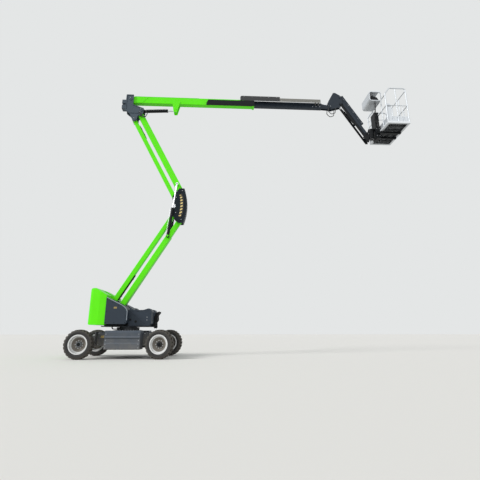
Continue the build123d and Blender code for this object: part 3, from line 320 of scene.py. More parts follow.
def bolt_heads(name, body, spots, material, head=0.62):
    """Bolts of one body from a list of (place, facing, washer radius)."""
    mesh = bpy.data.meshes.new(name + "_spots")
    mesh.from_pydata([tuple(place) for place, _, _ in spots], [], [])
    mesh.attributes.new("facing", "FLOAT_VECTOR", "POINT")
    mesh.attributes.new("size", "FLOAT", "POINT")
    for i, (_, way, radius) in enumerate(spots):
        mesh.attributes["facing"].data[i].vector = way
        mesh.attributes["size"].data[i].value = radius
    lay_pattern(name, body, mesh, BOLT_PATTERN, {"Head Height": head}, material)


def zinc(name, colour):
    """Zinc-plated fasteners and blank plates, slightly clouded."""
    material, shader, place = new_finish(name)
    cloud = place.noise(60.0).tint(shaded(colour, 0.8), shaded(colour, 1.1))
    set_input(shader, "Base Color", cloud)
    set_input(shader, "Metallic", 0.8)
    set_input(shader, "Roughness", place.noise(90.0) * 0.25 + 0.28)
    return material


zinc_plate = zinc("zinc_plate", linear(190, 192, 194))
brass_plate = zinc("brass_plate", linear(150, 132, 88))
AHEAD, LEFT, RIGHT, UP = Vector((1, 0, 0)), Vector((0, 1, 0)), Vector((0, -1, 0)), Vector((0, 0, 1))
HANDS = (RIGHT, LEFT)
SKIN = 0.001
FRAME_SIDE = 0.39
FRAME_END = 0.702
FRAME_BOLT = 0.011
FRAME_BOLTS_X, FRAME_BOLTS_Z = (-0.66, -0.43, 0.53, 0.66), (0.34, 0.61)
SIDE_WELDS_X, SIDE_WELD_Z, SIDE_BEAD = (-0.47, 0.63), (0.305, 0.47, 0.648), 0.005
NECK_HALF, NECK_Z0, NECK_Z1, NECK_BEAD = 0.23, 0.33, 0.56, 0.006
PLATE_X, PLATE_Z = (-0.60, -0.50), (0.50, 0.56)
bolts, welds, plates = [], [], []
for hand in HANDS:
    y = hand.y * (FRAME_SIDE + 2 * SKIN)
    bolts += [(Vector((x, y, z)), hand, FRAME_BOLT) for x in FRAME_BOLTS_X for z in FRAME_BOLTS_Z]
    for x in SIDE_WELDS_X:
        welds.append(tube_shape([(x, y, z) for z in SIDE_WELD_Z], SIDE_BEAD, 6))
    plates.append(box_shape(*PLATE_X, y - SKIN, y + SKIN, *PLATE_Z))
for x in (-FRAME_END, FRAME_END):
    ring = [(x, -NECK_HALF, NECK_Z0), (x, -NECK_HALF, NECK_Z1), (x, NECK_HALF, NECK_Z1),
            (x, NECK_HALF, NECK_Z0), (x, -NECK_HALF, NECK_Z0)]
    welds.append(tube_shape(ring, NECK_BEAD, 6))
bolt_heads("chassis_bolts", "chassis", bolts, zinc_plate)
add_piece("chassis_welds", welds, slate_paint, "chassis")
add_piece("chassis_blank_plates", plates, brass_plate, "chassis")

# Side covers: moulded plastic shells over the battery boxes, with two ledges along
# them, held by plated bolts at the ends of each band. Pale strips along the ledge
# edges are painted highlights.
cover_plastic = spray_paint("cover_plastic", linear(58, 68, 80), 0.48, 0.0, dust=0.4, dust_top=0.8)
# Pale grey for the ledge strips: a painted highlight where light catches the ledge edges.
ridge_highlight_plastic = spray_paint("ridge_highlight_plastic", linear(112, 122, 134), 0.4, 0.0)
dress(cover_plastic, "side_covers")
(cover_x0, _, _), (cover_x1, cover_y1, _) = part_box("side_covers")
COVER_BOLT, COVER_BOLT_IN = 0.0085, 0.035
COVER_BOLTS = ((0.275, 0.010), (0.36, 0.010), (0.448, 0.022), (0.60, 0.018))
RIDGE, RIDGE_IN = 0.003, 0.012
RIDGES = ((0.5465, 0.002), (0.514, 0.0015), (0.3835, 0.012))
SEAM_Z, SEAM_DEEP = (0.4955, 0.4985), 0.0225
bolts, seams, ridges = [], [], []
start_x, end_x = cover_x0 + RIDGE_IN, cover_x1 - RIDGE_IN
for hand in HANDS:
    for x in (cover_x0 + COVER_BOLT_IN, cover_x1 - COVER_BOLT_IN):
        for z, deep in COVER_BOLTS:
            bolts.append((Vector((x, hand.y * (cover_y1 - deep), z)), hand, COVER_BOLT))
    for z, deep in RIDGES:
        y = hand.y * (cover_y1 - deep)
        ridges.append(tube_shape([(start_x, y, z), (end_x, y, z)], RIDGE, 8))
    y = hand.y * (cover_y1 - SEAM_DEEP)
    seams.append(box_shape(start_x, end_x, y - SKIN, y + SKIN, *SEAM_Z))
bolt_heads("cover_bolts", "chassis", bolts, zinc_plate)
add_piece("cover_seams", seams, black_paint, "chassis")
# The ledge strips carry the painted highlight.
add_piece("cover_ridges", ridges, ridge_highlight_plastic, "chassis")

# Wheels: foam-filled rubber tyres with cleated treads on pressed steel wheels, held by
# nine nuts. The rim's edge is sprayed white and the hub black; the dish's grey-brown is
# painted shade inside the white rim.
AXLE_X, AXLE_Z = 1.015, 0.3545
WHEEL_Y, KING_Y = 0.762, 0.556
STEER = math.radians(-10)
RIM_EDGE, HUB_EDGE = 0.176, 0.074
TREAD_FOOT, TREAD_FADE = 0.29, 0.05


def wheel_middle(name):
    """Centre and axle direction of a wheel as parked."""
    side = -1 if name.endswith("right") else 1
    if "rear" in name:
        return Vector((-AXLE_X, side * WHEEL_Y, AXLE_Z)), Vector((0, side, 0))
    out = Vector((-math.sin(STEER), math.cos(STEER), 0)) * side
    return Vector((AXLE_X, side * KING_Y, AXLE_Z)) + out * (WHEEL_Y - KING_Y), out


def from_axle(place, name):
    """Distance from a wheel's axle line, in metres."""
    middle, out = wheel_middle(name)
    node = "ShaderNodeVectorMath"
    arm = place.make(node, {"operation": "SUBTRACT"}, {0: place, 1: middle})
    turned = arm.make(node, {"operation": "CROSS_PRODUCT"}, {0: arm, 1: out})
    return turned.make(node, {"operation": "LENGTH"}, {0: turned}, 1)


def tyre_rubber(name):
    """Black rubber, browned by dust on the tread and ringed on the sidewall."""
    material, shader, place = new_finish("tyre_rubber_" + name)
    reach = from_axle(place, name)
    dust = place.noise(14.0, 5.0) * ((reach - TREAD_FOOT) / TREAD_FADE).clamped()
    base = (dust * 0.9).clamped().tint(linear(38, 37, 36), linear(92, 86, 77))
    set_input(shader, "Base Color", base)
    set_input(shader, "Roughness", 0.82)
    ring = reach.maths("SINE", reach * 420.0)
    bumped(shader, ring * 0.5 + place.noise(150.0), 0.25, 0.002)
    return material


def wheel_paint(name):
    """White outer rim, dark hub, and a dish painted grey-brown as the shade inside the rim."""
    material, shader, place = new_finish("wheel_paint_" + name)
    reach = from_axle(place, name)
    grime = place.noise(11.0, 4.0)
    # The dish's grey-brown is painted shade inside the white rim, clouded by the noise.
    dish_painted_shade = grime.tint(linear(78, 74, 68), linear(112, 106, 97))
    edge = grime.tint(linear(184, 185, 184), linear(214, 214, 213))
    hub = linear(34, 34, 35) if "front" in name else linear(96, 100, 104)
    inner = (reach > HUB_EDGE).tint(hub, dish_painted_shade)
    set_input(shader, "Base Color", (reach > RIM_EDGE).tint(inner, edge))
    set_input(shader, "Roughness", grime * 0.25 + 0.35)
    bumped(shader, place.noise(180.0, 1.0), 0.05, 0.002)
    return material


def ring_of_bolts(centre, across, up, ring, count, facing, washer, first=0.0):
    """Bolts spaced evenly round a centre, in the plane of two directions."""
    spots = []
    for k in range(count):
        turn = 2 * math.pi * (k + first) / count
        place = centre + (across * math.cos(turn) + up * math.sin(turn)) * ring
        spots.append((place, facing, washer))
    return spots


WHEEL_NUTS, NUT_RING, NUT, NUT_HEIGHT = 9, 0.094, 0.0125, 1.3
DISH_OUT = 0.018
CAP_OUT, CAP, CAP_TOP = 0.046, 0.044, 0.026
VALVE_RING, VALVE_OUT, VALVE_LONG, VALVE = 0.206, 0.05, 0.03, 0.005
for corner in ("front_right", "front_left", "rear_right", "rear_left"):
    dress(tyre_rubber(corner), "tyre_" + corner)
    dress(wheel_paint(corner), "rim_" + corner)
    body = "wheel_" + corner
    middle, out = wheel_middle(corner)
    disc = DISH_OUT if corner.startswith("front") else -DISH_OUT
    face = middle + out * disc
    across = UP.cross(out).normalized()
    nuts = ring_of_bolts(face, across, UP, NUT_RING, WHEEL_NUTS, out, NUT, 0.5)
    bolt_heads("wheel_nuts_" + corner, body, nuts, zinc_plate, NUT_HEIGHT)
    cap = middle + out * (disc + CAP_OUT)
    hub = [tube_shape([cap, cap + out * 0.014], CAP, 20),
           tube_shape([cap + out * 0.012, cap + out * 0.024], CAP_TOP, 16)]
    add_piece("hub_cap_" + corner, hub, black_paint, body, 0.004)
    stem = face + (across * 0.6 + UP * 0.8) * VALVE_RING + out * VALVE_OUT
    valve = tube_shape([stem, stem + out * VALVE_LONG], VALVE, 8)
    add_piece("valve_" + corner, [valve], zinc_plate, body)

# Axle fittings: a bolted steel cap over each kingpin, a nut under each tie rod joint
# and a ring of bolts round each travel motor's flange.
FORK_TOP, KING_CAP, KING_CAP_HIGH, KING_RING = 0.4445, 0.033, 0.007, 0.043
TIE_FOOT, STEER_ARM, TIE_NUT = 0.2545, 0.165, 0.018
MOTOR_FLANGE, MOTOR_RING = 0.509, 0.098
AXLE_BOLT = 0.009
bolts, caps, nuts = [], [], []
for hand in HANDS:
    king = Vector((AXLE_X, hand.y * KING_Y, FORK_TOP))
    caps.append(tube_shape([king - UP * SKIN, king + UP * KING_CAP_HIGH], KING_CAP, 20))
    bolts += ring_of_bolts(king + UP * SKIN, AHEAD, LEFT, KING_RING, 4, UP, AXLE_BOLT, 0.5)
    arm = Vector((math.cos(STEER), math.sin(STEER), 0)) * STEER_ARM
    nuts.append((Vector((king.x, king.y, TIE_FOOT)) - arm, -UP, TIE_NUT))
    motor = Vector((-AXLE_X, hand.y * MOTOR_FLANGE, AXLE_Z))
    bolts += ring_of_bolts(motor, AHEAD, UP, MOTOR_RING, 10, -hand, AXLE_BOLT)
add_piece("kingpin_caps", caps, black_paint, "chassis", 0.002)
bolt_heads("axle_bolts", "chassis", bolts, zinc_plate)
bolt_heads("tie_rod_nuts", "tie_rod", nuts, zinc_plate)

# Slewing ring: the ground steel outer race on the deck, with a circle of bolts outside
# it and rubber hoses hanging beside it.


def oiled_steel(name, colour, roughness):
    """Ground steel with a thin film of oil and faint turning marks."""
    material, shader, place = new_finish(name)
    film = place.noise(18.0, 4.0).tint(shaded(colour, 0.8), shaded(colour, 1.1))
    set_input(shader, "Base Color", film)
    set_input(shader, "Metallic", 1.0)
    set_input(shader, "Roughness", place.noise(40.0) * 0.2 + roughness)
    return material


def hose_rubber(name):
    """Black hydraulic hose, faintly ribbed by its braid."""
    material, shader, place = new_finish(name)
    set_input(shader, "Base Color", place.noise(30.0).tint(linear(20, 20, 21), linear(36, 36, 37)))
    set_input(shader, "Roughness", 0.6)
    bumped(shader, place.noise(400.0, 1.0), 0.2, 0.001)
    return material


dress(oiled_steel("race_steel", linear(70, 72, 75), 0.4), "slew_ring")
hose_black = hose_rubber("hose_black")
dress(hose_black, "slew_hoses", "elbow_hoses", "carrier_hoses", "tip_hoses", "console_cable")
DECK_TOP = 0.69
RING_BOLTS, BOLT_CIRCLE, RING_BOLT = 30, 0.345, 0.0135
deck = Vector((0, 0, DECK_TOP + 2 * SKIN))
bolts = ring_of_bolts(deck, AHEAD, LEFT, BOLT_CIRCLE, RING_BOLTS, UP, RING_BOLT, 0.5)
bolt_heads("ring_bolts", "chassis", bolts, zinc_plate)

# Turntable: a cast tail weight sprayed bright green, dark plastic housings each side of
# the risers with a pale edge trim, and the black steel rest that takes the folded arms.


def prism_shape(outline, y0, y1):
    """A side-view outline made solid across the machine."""
    count = len(outline)
    corners = [(x, y, z) for y in (y0, y1) for x, z in outline]
    faces = [tuple(range(count)), tuple(range(2 * count - 1, count - 1, -1))]
    faces += [(i, i + count, (i + 1) % count + count, (i + 1) % count) for i in range(count)]
    return corners, faces


green_paint = spray_paint("green_paint", linear(86, 214, 0), 0.38, 0.04, gloss=0.2)
dress(green_paint, "counterweight")
housing_plastic = spray_paint("housing_plastic", linear(40, 49, 59), 0.48, 0.0)
dress(housing_plastic, "turntable_covers", "front_housings")
dress(black_paint, "boom_rest")
trim_grey = spray_paint("trim_grey", linear(142, 150, 158), 0.45, 0.0)
black_bolt = zinc("black_bolt", linear(36, 38, 40))
pad_rubber = spray_paint("pad_rubber", linear(28, 28, 29), 0.75, 0.0)
house_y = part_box("turntable_covers")[1][1]
nose_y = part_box("front_housings")[1][1]
TRIM = 0.008
TRIM_EDGE = ((-0.43, 1.505), (-0.03, 1.313), (0.035, 1.268), (0.085, 1.215), (0.112, 1.16),
             (0.114, 0.94))
HOUSE_BOLT, NOSE_BOLT, FRONT_BOLT = 0.009, 0.0085, 0.0095
HOUSE_BOLTS = ((-0.41, 1.45), (-0.41, 1.15), (-0.41, 0.88), (-0.2, 0.88), (0.07, 0.88),
               (0.07, 1.05), (-0.12, 1.31), (-0.27, 1.385))
NOSE_BOLTS = ((0.15, 0.86), (0.34, 0.85), (0.52, 0.86), (0.66, 0.9), (0.66, 1.1), (0.34, 1.17),
              (0.18, 1.18))
FRONT_BOLTS = ((0.585, 0.95), (0.585, 1.02))
HOUSE_PLATE_X, HOUSE_PLATE_Z, HOUSE_PLATE_THICK = (-0.235, -0.155), (1.225, 1.27), 0.0015
SHADED_HOLES = ((0.155, 0.955), (0.30, 0.91))
SHADED_HOLE_LAYERS = ((0.005, 0.03, 20), (0.008, 0.017, 16))
CREASE_OUT = 0.006
CREASES = (((0.15, 1.16), (0.17, 1.165), (0.52, 0.875), (0.50, 0.868)),
           ((0.20, 1.185), (0.62, 1.20), (0.62, 1.188), (0.20, 1.172)))
trims, bolts, front_bolts, holes, creases, plates = [], [], [], [], [], []
for hand in HANDS:
    trims.append(tube_shape([(x, hand.y * (house_y - SKIN), z) for x, z in TRIM_EDGE], TRIM, 8))
    for places, y, size, rows in ((HOUSE_BOLTS, house_y, HOUSE_BOLT, bolts),
                                  (NOSE_BOLTS, nose_y, NOSE_BOLT, bolts),
                                  (FRONT_BOLTS, nose_y, FRONT_BOLT, front_bolts)):
        rows += [(Vector((x, hand.y * (y + SKIN), z)), hand, size) for x, z in places]
    y0, y1 = sorted((hand.y * house_y, hand.y * (house_y + HOUSE_PLATE_THICK)))
    plates.append(box_shape(*HOUSE_PLATE_X, y0, y1, *HOUSE_PLATE_Z))
    # Two black discs on the nose housing are painted shade: they stand for its dark round holes.
    for x, z in SHADED_HOLES:
        place = Vector((x, hand.y * (nose_y - 2 * SKIN), z))
        for high, radius, sides in SHADED_HOLE_LAYERS:
            holes.append(tube_shape([place, place + hand * high], radius, sides))
    y0, y1 = sorted((hand.y * (nose_y - 2 * SKIN), hand.y * (nose_y + CREASE_OUT)))
    creases += [prism_shape(outline, y0, y1) for outline in CREASES]
add_piece("housing_trims", trims, trim_grey, "turntable")
bolt_heads("housing_bolts", "turntable", bolts, black_bolt)
bolt_heads("housing_front_bolts", "turntable", front_bolts, zinc_plate)
add_piece("housing_blank_plates", plates, brass_plate, "turntable")
# The black discs here are painted shade for the housing's holes.
add_piece("housing_hole_shades", holes, black_paint, "turntable")
add_piece("housing_creases", creases, housing_plastic, "turntable", 0.002)
rest_block = box_shape(0.675, 0.775, -0.105, 0.105, 1.021, 1.037)
add_piece("rest_pad", [rest_block], pad_rubber, "turntable", 0.006)

# Risers: green box-section arms and levelling links on black elbow plates, lifted by
# two black cylinders with chromed rods. A bolted keeper block holds each pin, and steel
# pipes run in clamps along the links.
dress(green_paint, "lower_arm", "lower_link", "upper_arm", "upper_link")
elbow_black = spray_paint("elbow_black", linear(24, 32, 38), 0.42, 0.03, gloss=0.1)
dress(elbow_black, "elbow_plates", "elbow_cover")
dress(black_paint, "riser_barrels")
rod_chrome = oiled_steel("rod_chrome", linear(214, 216, 220), 0.08)
dress(rod_chrome, "riser_rods", "luff_rod", "level_rod", "jib_rod")
hinge_at = {j["name"]: Vector(j["pos_m"]) for j in frame["joints"] if j["type"] == "hinge"}
KEEPER_BOLT = 0.0105


def keepers(name, body, pins, face, reach, radius, material, slant=0.5):
    """Pin ends, each held by a keeper block bolted to the plate's face on both sides."""
    shapes, bolts = [], []
    along = Vector((math.cos(slant), 0, math.sin(slant)))
    across = Vector((-math.sin(slant), 0, math.cos(slant))) * radius * 0.36
    for pin in pins:
        for hand in HANDS:
            end = Vector((pin.x, hand.y * reach, pin.z))
            shapes.append(tube_shape([end - hand * 0.003, end + hand * 0.006], radius, 20))
            foot = Vector((pin.x, hand.y * face, pin.z))
            top = end + hand * 0.009
            corners = [level + along * radius * u + across * v
                       for u in (-0.2, 1.75) for v in (-1, 1) for level in (foot, top)]
            shapes.append((corners, BLOCK_FACES))
            bolts.append((top + along * radius * 1.36, hand, KEEPER_BOLT))
    add_piece(name + "_keepers", shapes, material, body, 0.0015)
    bolt_heads(name + "_keeper_bolts", body, bolts, zinc_plate)


arm_foot, arm_top = hinge_at["riser"], hinge_at["elbow_turn"]
link_foot = hinge_at["lower_link_turn"]
high_pin, high_link = hinge_at["upper_arm_turn"], hinge_at["upper_link_turn"]
LINK_PIN = Vector((-0.171, 0, 0.211))
RISER_PIN = 0.04
keepers("base_pin", "turntable", [arm_foot, link_foot], 0.14, 0.152, RISER_PIN, black_paint)
keepers("elbow_pin", "elbow", [arm_top, arm_top + LINK_PIN, high_pin, high_link], 0.128, 0.136,
        RISER_PIN, elbow_black, 0.2)
STRIPE_LEAN, STRIPE_PITCH = 0.45, 0.094


def hazard_tape(name):
    """Slanting beige and black stripes."""
    material, shader, place = new_finish(name)
    slant = place.axis("Z") - place.axis("X") * STRIPE_LEAN
    band = slant.maths("FRACT", slant / STRIPE_PITCH)
    stripes = (band > 0.5).tint(linear(24, 25, 26), linear(214, 190, 122))
    set_input(shader, "Base Color", stripes)
    set_input(shader, "Roughness", place.noise(12.0) * 0.2 + 0.35)
    bumped(shader, place.noise(200.0, 1.0), 0.04, 0.002)
    return material


TAPE_OUT, TAPE_WIDTH, TAPE_HALF, TAPE_BEND, TAPE_FACE = 0.078, 0.066, 0.335, 0.385, 0.1288
TAPE_ROWS = 17
elbow_z = (arm_top.z + high_pin.z) / 2
tape = []
for hand in HANDS:
    rows = []
    for k in range(TAPE_ROWS):
        rise = TAPE_HALF * (2 * k / (TAPE_ROWS - 1) - 1)
        rows.append((arm_top.x + TAPE_OUT - TAPE_BEND * rise * rise, elbow_z + rise))
    y = hand.y * TAPE_FACE
    corners = [(x - TAPE_WIDTH, y, z) for x, z in rows] + [(x, y, z) for x, z in rows]
    corners += [tuple(Vector(c) - hand * SKIN) for c in corners]
    behind = 2 * TAPE_ROWS
    faces = []
    for i in range(TAPE_ROWS - 1):
        quad = (i, i + 1, TAPE_ROWS + i + 1, TAPE_ROWS + i)
        faces += [quad, tuple(behind + v for v in reversed(quad))]
    rim = list(range(TAPE_ROWS)) + list(range(behind - 1, TAPE_ROWS - 1, -1))
    for a, b in zip(rim, rim[1:] + rim[:1]):
        faces.append((a, a + behind, b + behind, b))
    tape.append((corners, faces))
add_piece("elbow_tape", tape, hazard_tape("hazard_tape"), "elbow")
ELBOW_BACK, ELBOW_BEND, ELBOW_SLOPE = 0.1995, 0.3086, 0.617
ELBOW_BOLT, ELBOW_BOLT_Y = 0.0095, 0.1
bolts = []
for rise in (-0.44, -0.27, -0.09, 0.09, 0.27, 0.44):
    out = Vector((1.0, 0.0, ELBOW_SLOPE * rise)).normalized()
    x = arm_top.x + ELBOW_BACK - ELBOW_BEND * rise * rise
    for y in (-ELBOW_BOLT_Y, ELBOW_BOLT_Y):
        bolts.append((Vector((x, y, elbow_z + rise)), out, ELBOW_BOLT))
bolt_heads("elbow_cover_bolts", "elbow", bolts, black_bolt)


def along_arm(start, end, distance, off, y):
    """A point along an arm in the side view, off to its left, at a place across."""
    way = (end - start).normalized()
    left = Vector((-way.z, 0, way.x))
    return start + way * distance + left * off + Vector((0, y, 0))


def evenly(first, last, count):
    """Equally spaced values from the first to the last."""
    return [first + (last - first) * k / (count - 1) for k in range(count)]


PIPE, PIPE_LANES = 0.009, (-0.045, -0.015, 0.015, 0.045)
CLAMP_LONG, CLAMP_HALF, CLAMP_WIDE, CLAMP_STEP, CLAMP_IN = 0.036, 0.014, 0.124, 0.32, 0.12
CLAMP_BOLT, CLAMP_BOLT_OUT = 0.009, 0.0145


def arm_pipes(name, body, start, end, off, first, last):
    """Steel pipes on an arm's right in the side view, in clamp blocks with a bolt each."""
    pipes, clamps, bolts = [], [], []
    way = (end - start).normalized()
    left = Vector((-way.z, 0, way.x))
    for y in PIPE_LANES:
        run = [along_arm(start, end, d, off, y) for d in evenly(first, last, 3)]
        pipes.append(tube_shape(run, PIPE, 10))
    count = max(2, round((last - first) / CLAMP_STEP))
    for d in evenly(first + CLAMP_IN, last - CLAMP_IN, count):
        a = along_arm(start, end, d - CLAMP_LONG / 2, off, 0.0)
        corners = [a + way * u + left * v + LEFT * w for u in (0, CLAMP_LONG)
                   for w in (-CLAMP_WIDE / 2, CLAMP_WIDE / 2) for v in (-CLAMP_HALF, CLAMP_HALF)]
        clamps.append((corners, BLOCK_FACES))
        bolts.append((along_arm(start, end, d, off - CLAMP_BOLT_OUT, 0.0), -left, CLAMP_BOLT))
    add_piece(name + "_pipes", pipes, black_paint, body)
    add_piece(name + "_clamps", clamps, pad_rubber, body, 0.003)
    bolt_heads(name + "_clamp_bolts", body, bolts, zinc_plate)


carrier_pin = hinge_at["carrier_turn"]
link_top = arm_top + (link_foot - arm_foot)
high_link_top = high_link + (carrier_pin - high_pin)
arm_pipes("lower_link", "lower_link", link_foot, link_top, -0.074, 0.2, 1.0)
arm_pipes("upper_link", "upper_link", high_link, high_link_top, -0.071, 2.25, 2.72)
PORT, PORT_HALF, PORT_OUT = 0.02, 0.018, 0.012
FEED_LINE, FEED_OUT = 0.006, 0.02
PORT_FOOT, PORT_HEAD = 0.09, 0.06


def cylinder_ports(name, body, foot, head, reach, radius, lanes):
    """Feed blocks and steel lines on a cylinder's barrel."""
    blocks, lines = [], []
    for y in lanes:
        for d in (PORT_FOOT, reach - PORT_HEAD):
            a = along_arm(foot, head, d, radius + PORT_OUT, y)
            blocks.append(tube_shape([a - LEFT * PORT_HALF, a + LEFT * PORT_HALF], PORT, 8))
        run = [along_arm(foot, head, d, radius + FEED_OUT, y)
               for d in (PORT_FOOT, PORT_FOOT + 0.05, reach - 2 * PORT_HEAD, reach - PORT_HEAD)]
        lines.append(tube_shape(run, FEED_LINE, 8))
    add_piece(name + "_ports", blocks, zinc_plate, body, 0.002)
    add_piece(name + "_lines", lines, zinc_plate, body)


RISER_EYE = Vector((1.1436, 0, 4.907))
RISER_BARREL, RISER_BARREL_R, RISER_LANE = 0.86, 0.042, 0.2
cylinder_ports("riser_barrel", "riser_barrels", hinge_at["riser_barrel_turn"], RISER_EYE,
               RISER_BARREL, RISER_BARREL_R, (-RISER_LANE, RISER_LANE))
NECK_AT, NECK_SIDE, NECK_RISE, ARM_BEAD = 2.525, 0.064, 0.07, 0.007
welds = []
for hand in HANDS:
    bead = [along_arm(arm_foot, arm_top, NECK_AT, v, hand.y * NECK_SIDE)
            for v in (-NECK_RISE, 0.0, NECK_RISE)]
    welds.append(tube_shape(bead, ARM_BEAD, 6))
add_piece("lower_arm_welds", welds, green_paint, "lower_arm")

# Boom: a grey cast head carries the green outer section with its black lift cylinder;
# the dark inner section slides in it with a plastic hose chain alongside, which lies in
# a bolted tray under a guard.
cast_grey = spray_paint("cast_grey", linear(60, 71, 80), 0.46, 0.05)
dress(cast_grey, "carrier")
dress(green_paint, "main_boom")
dress(black_paint, "luff_barrel", "level_barrel", "jib_barrel", "chain_tray")
boom_grey = spray_paint("boom_grey", linear(38, 45, 53), 0.4, 0.06, gloss=0.12)
dress(boom_grey, "inner_boom", "jib_knuckle", "jib_arm", "jib_channel")
link_plastic = spray_paint("link_plastic", linear(24, 24, 26), 0.55, 0.0, gloss=0.15)
dress(link_plastic, "hose_chain")
dress(black_paint, "jib_link", "jib_head", "platform_mount")
GUARD_END = 4.351


def guard_paint(name):
    """Black guard whose long rail is left a worn olive grey."""
    material, shader, place = new_finish(name)
    rail = place.axis("X") > GUARD_END
    set_input(shader, "Base Color", rail.tint(linear(22, 24, 26), linear(104, 103, 97)))
    set_input(shader, "Roughness", place.noise(10.0) * 0.2 + 0.36)
    bumped(shader, place.noise(220.0, 1.0), 0.04, 0.002)
    return material


dress(guard_paint("guard_paint"), "hose_guard")
luff_foot, LUFF_EYE = hinge_at["luff_barrel_turn"], Vector((0.955, 0, 7.52))
LUFF_BARREL, LUFF_BARREL_R, LUFF_PIN = 0.8, 0.05, 0.032
CARRIER_FACE, CARRIER_PIN_END = 0.135, 0.143
keepers("carrier_pin", "carrier", [carrier_pin, high_link_top, hinge_at["luff"]], CARRIER_FACE,
        CARRIER_PIN_END, RISER_PIN, cast_grey, 1.9)
keepers("luff_pin", "carrier", [luff_foot], CARRIER_FACE, CARRIER_PIN_END, LUFF_PIN, cast_grey, 3.0)
BOOM_SIDE = 0.09
ROOT_WELD, ROOT_BEAD = ((-0.13, 7.725), (-0.06, 7.80), (0.06, 7.935)), 0.007
TOP_WELD, TOP_BEAD = ((-0.36, 7.955), (1.7, 7.955)), 0.004
COLLAR_SIDE, COLLAR_X, COLLAR_Z, COLLAR_BOLT = 0.106, (3.468, 3.492), (7.75, 7.93), 0.0095
bolts, welds = [], []
for hand in HANDS:
    y = hand.y * (BOOM_SIDE + SKIN)
    for bead, radius in ((ROOT_WELD, ROOT_BEAD), (TOP_WELD, TOP_BEAD)):
        welds.append(tube_shape([(x, y, z) for x, z in bead], radius, 6))
    bolts += [(Vector((x, hand.y * COLLAR_SIDE, z)), hand, COLLAR_BOLT)
              for x in COLLAR_X for z in COLLAR_Z]
bolt_heads("wear_pad_bolts", "main_boom", bolts, zinc_plate)
add_piece("boom_welds", welds, green_paint, "main_boom")
cylinder_ports("luff_barrel", "luff_barrel", luff_foot, LUFF_EYE, LUFF_BARREL, LUFF_BARREL_R,
               (0.0,))


def rod_run(name, body, foot, head, first, last, radius):
    """The part of a rod that hides in its barrel until the cylinder runs out."""
    ends = [along_arm(foot, head, d, 0.0, 0.0) for d in (first, last)]
    add_piece(name, [tube_shape(ends, radius, 24)], rod_chrome, body)


rod_run("luff_rod_run", "luff_rod", luff_foot, LUFF_EYE, 0.13, 0.57, 0.0297)
(tray_x0, tray_y0, tray_z0), (tray_x1, _, _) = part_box("chain_tray")
(guard_x0, guard_y0, _), (_, _, guard_z1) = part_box("hose_guard")
TRAY_BOLT, EDGE_IN, FIRST_IN = 0.008, 0.03, 0.12
bolts = [(Vector((x, tray_y0 - SKIN, tray_z0 + EDGE_IN)), RIGHT, TRAY_BOLT)
         for x in evenly(tray_x0 + FIRST_IN, tray_x1 - 0.08, 6)]
bolt_heads("tray_bolts", "main_boom", bolts, black_bolt)
INNER_SIDE, INNER_BOLT, INNER_Z, INNER_LAST = 0.07, 0.012, 7.80, 5.7
RAIL_Z, MOUTH = 7.90, 3.51
stroke = next(j for j in frame["joints"] if j["name"] == "telescope")["range_m"][0]
bolts = [(Vector((x, guard_y0 - SKIN, guard_z1 - EDGE_IN)), RIGHT, TRAY_BOLT)
         for x in evenly(guard_x0 + FIRST_IN, guard_x0 + 1.2, 5)]
bolts += [(Vector((x, guard_y0 - SKIN, RAIL_Z)), RIGHT, TRAY_BOLT)
          for x in evenly(GUARD_END + 0.06, GUARD_END + 1.285, 6)]
bolts += [(Vector((x, hand.y * (INNER_SIDE + SKIN), INNER_Z)), hand, INNER_BOLT)
          for hand in HANDS for x in evenly(MOUTH - stroke + 0.05, INNER_LAST, 3)]
bolt_heads("inner_boom_bolts", "inner_boom", bolts, zinc_plate)
CHAIN_LANE, CHAIN_HALF, LINK_PIN_IN = -0.158, 0.037, 0.031
LINKS, LINK_LONG, FIRST_LINK, LINK_PIN_R = 15, 0.072, 3.2, 0.009
pin_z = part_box("hose_chain")[1][2] - LINK_PIN_IN
bolts = []
for k in range(LINKS):
    for hand in HANDS:
        y = CHAIN_LANE + hand.y * (CHAIN_HALF + 0.8 * SKIN)
        bolts.append((Vector((FIRST_LINK + LINK_LONG * k, y, pin_z)), hand, LINK_PIN_R))
bolt_heads("chain_pins", "hose_chain", bolts, link_plastic, 0.3)

# Jib: a dark tube with a bolted hose channel and a pair of black bars that keep the
# platform upright, between the levelled bracket at the boom's tip and the rotary
# actuator under the platform.
jib_top, jib_foot = hinge_at["jib"], hinge_at["jib_head_turn"]
JIB_FACE, JIB_PIN_END, JIB_PIN = 0.078, 0.0842, 0.034
keepers("tip_pin", "jib_knuckle", [hinge_at["tip_level"], jib_top], JIB_FACE, JIB_PIN_END, JIB_PIN,
        boom_grey, 1.4)
keepers("jib_foot_pin", "jib_head", [jib_foot], JIB_FACE, JIB_PIN_END, JIB_PIN, black_paint, 0.0)
CHANNEL_OFF, CHANNEL_SIDE, CHANNEL_BOLT = 0.1, 0.0445, 0.0085
bolts = [(along_arm(jib_top, jib_foot, d, CHANNEL_OFF, hand.y * CHANNEL_SIDE), hand, CHANNEL_BOLT)
         for d in (0.1, 0.38, 0.66, 0.94, 1.12) for hand in HANDS]
bolt_heads("jib_channel_bolts", "jib_arm", bolts, zinc_plate)
END_OFF, END_THICK, END_HALF_WIDE, END_HALF_HIGH = 0.102, 0.01, 0.04, 0.046
caps = []
for d in (-0.031, 1.171):
    corners = [along_arm(jib_top, jib_foot, d + u, END_OFF + v, w) for u in (0, END_THICK)
               for w in (-END_HALF_WIDE, END_HALF_WIDE) for v in (-END_HALF_HIGH, END_HALF_HIGH)]
    caps.append((corners, BLOCK_FACES))
add_piece("jib_channel_ends", caps, pad_rubber, "jib_arm", 0.003)
ram_pin, RAM_EYE = hinge_at["jib_barrel_turn"], Vector((6.352, 0, 7.88))
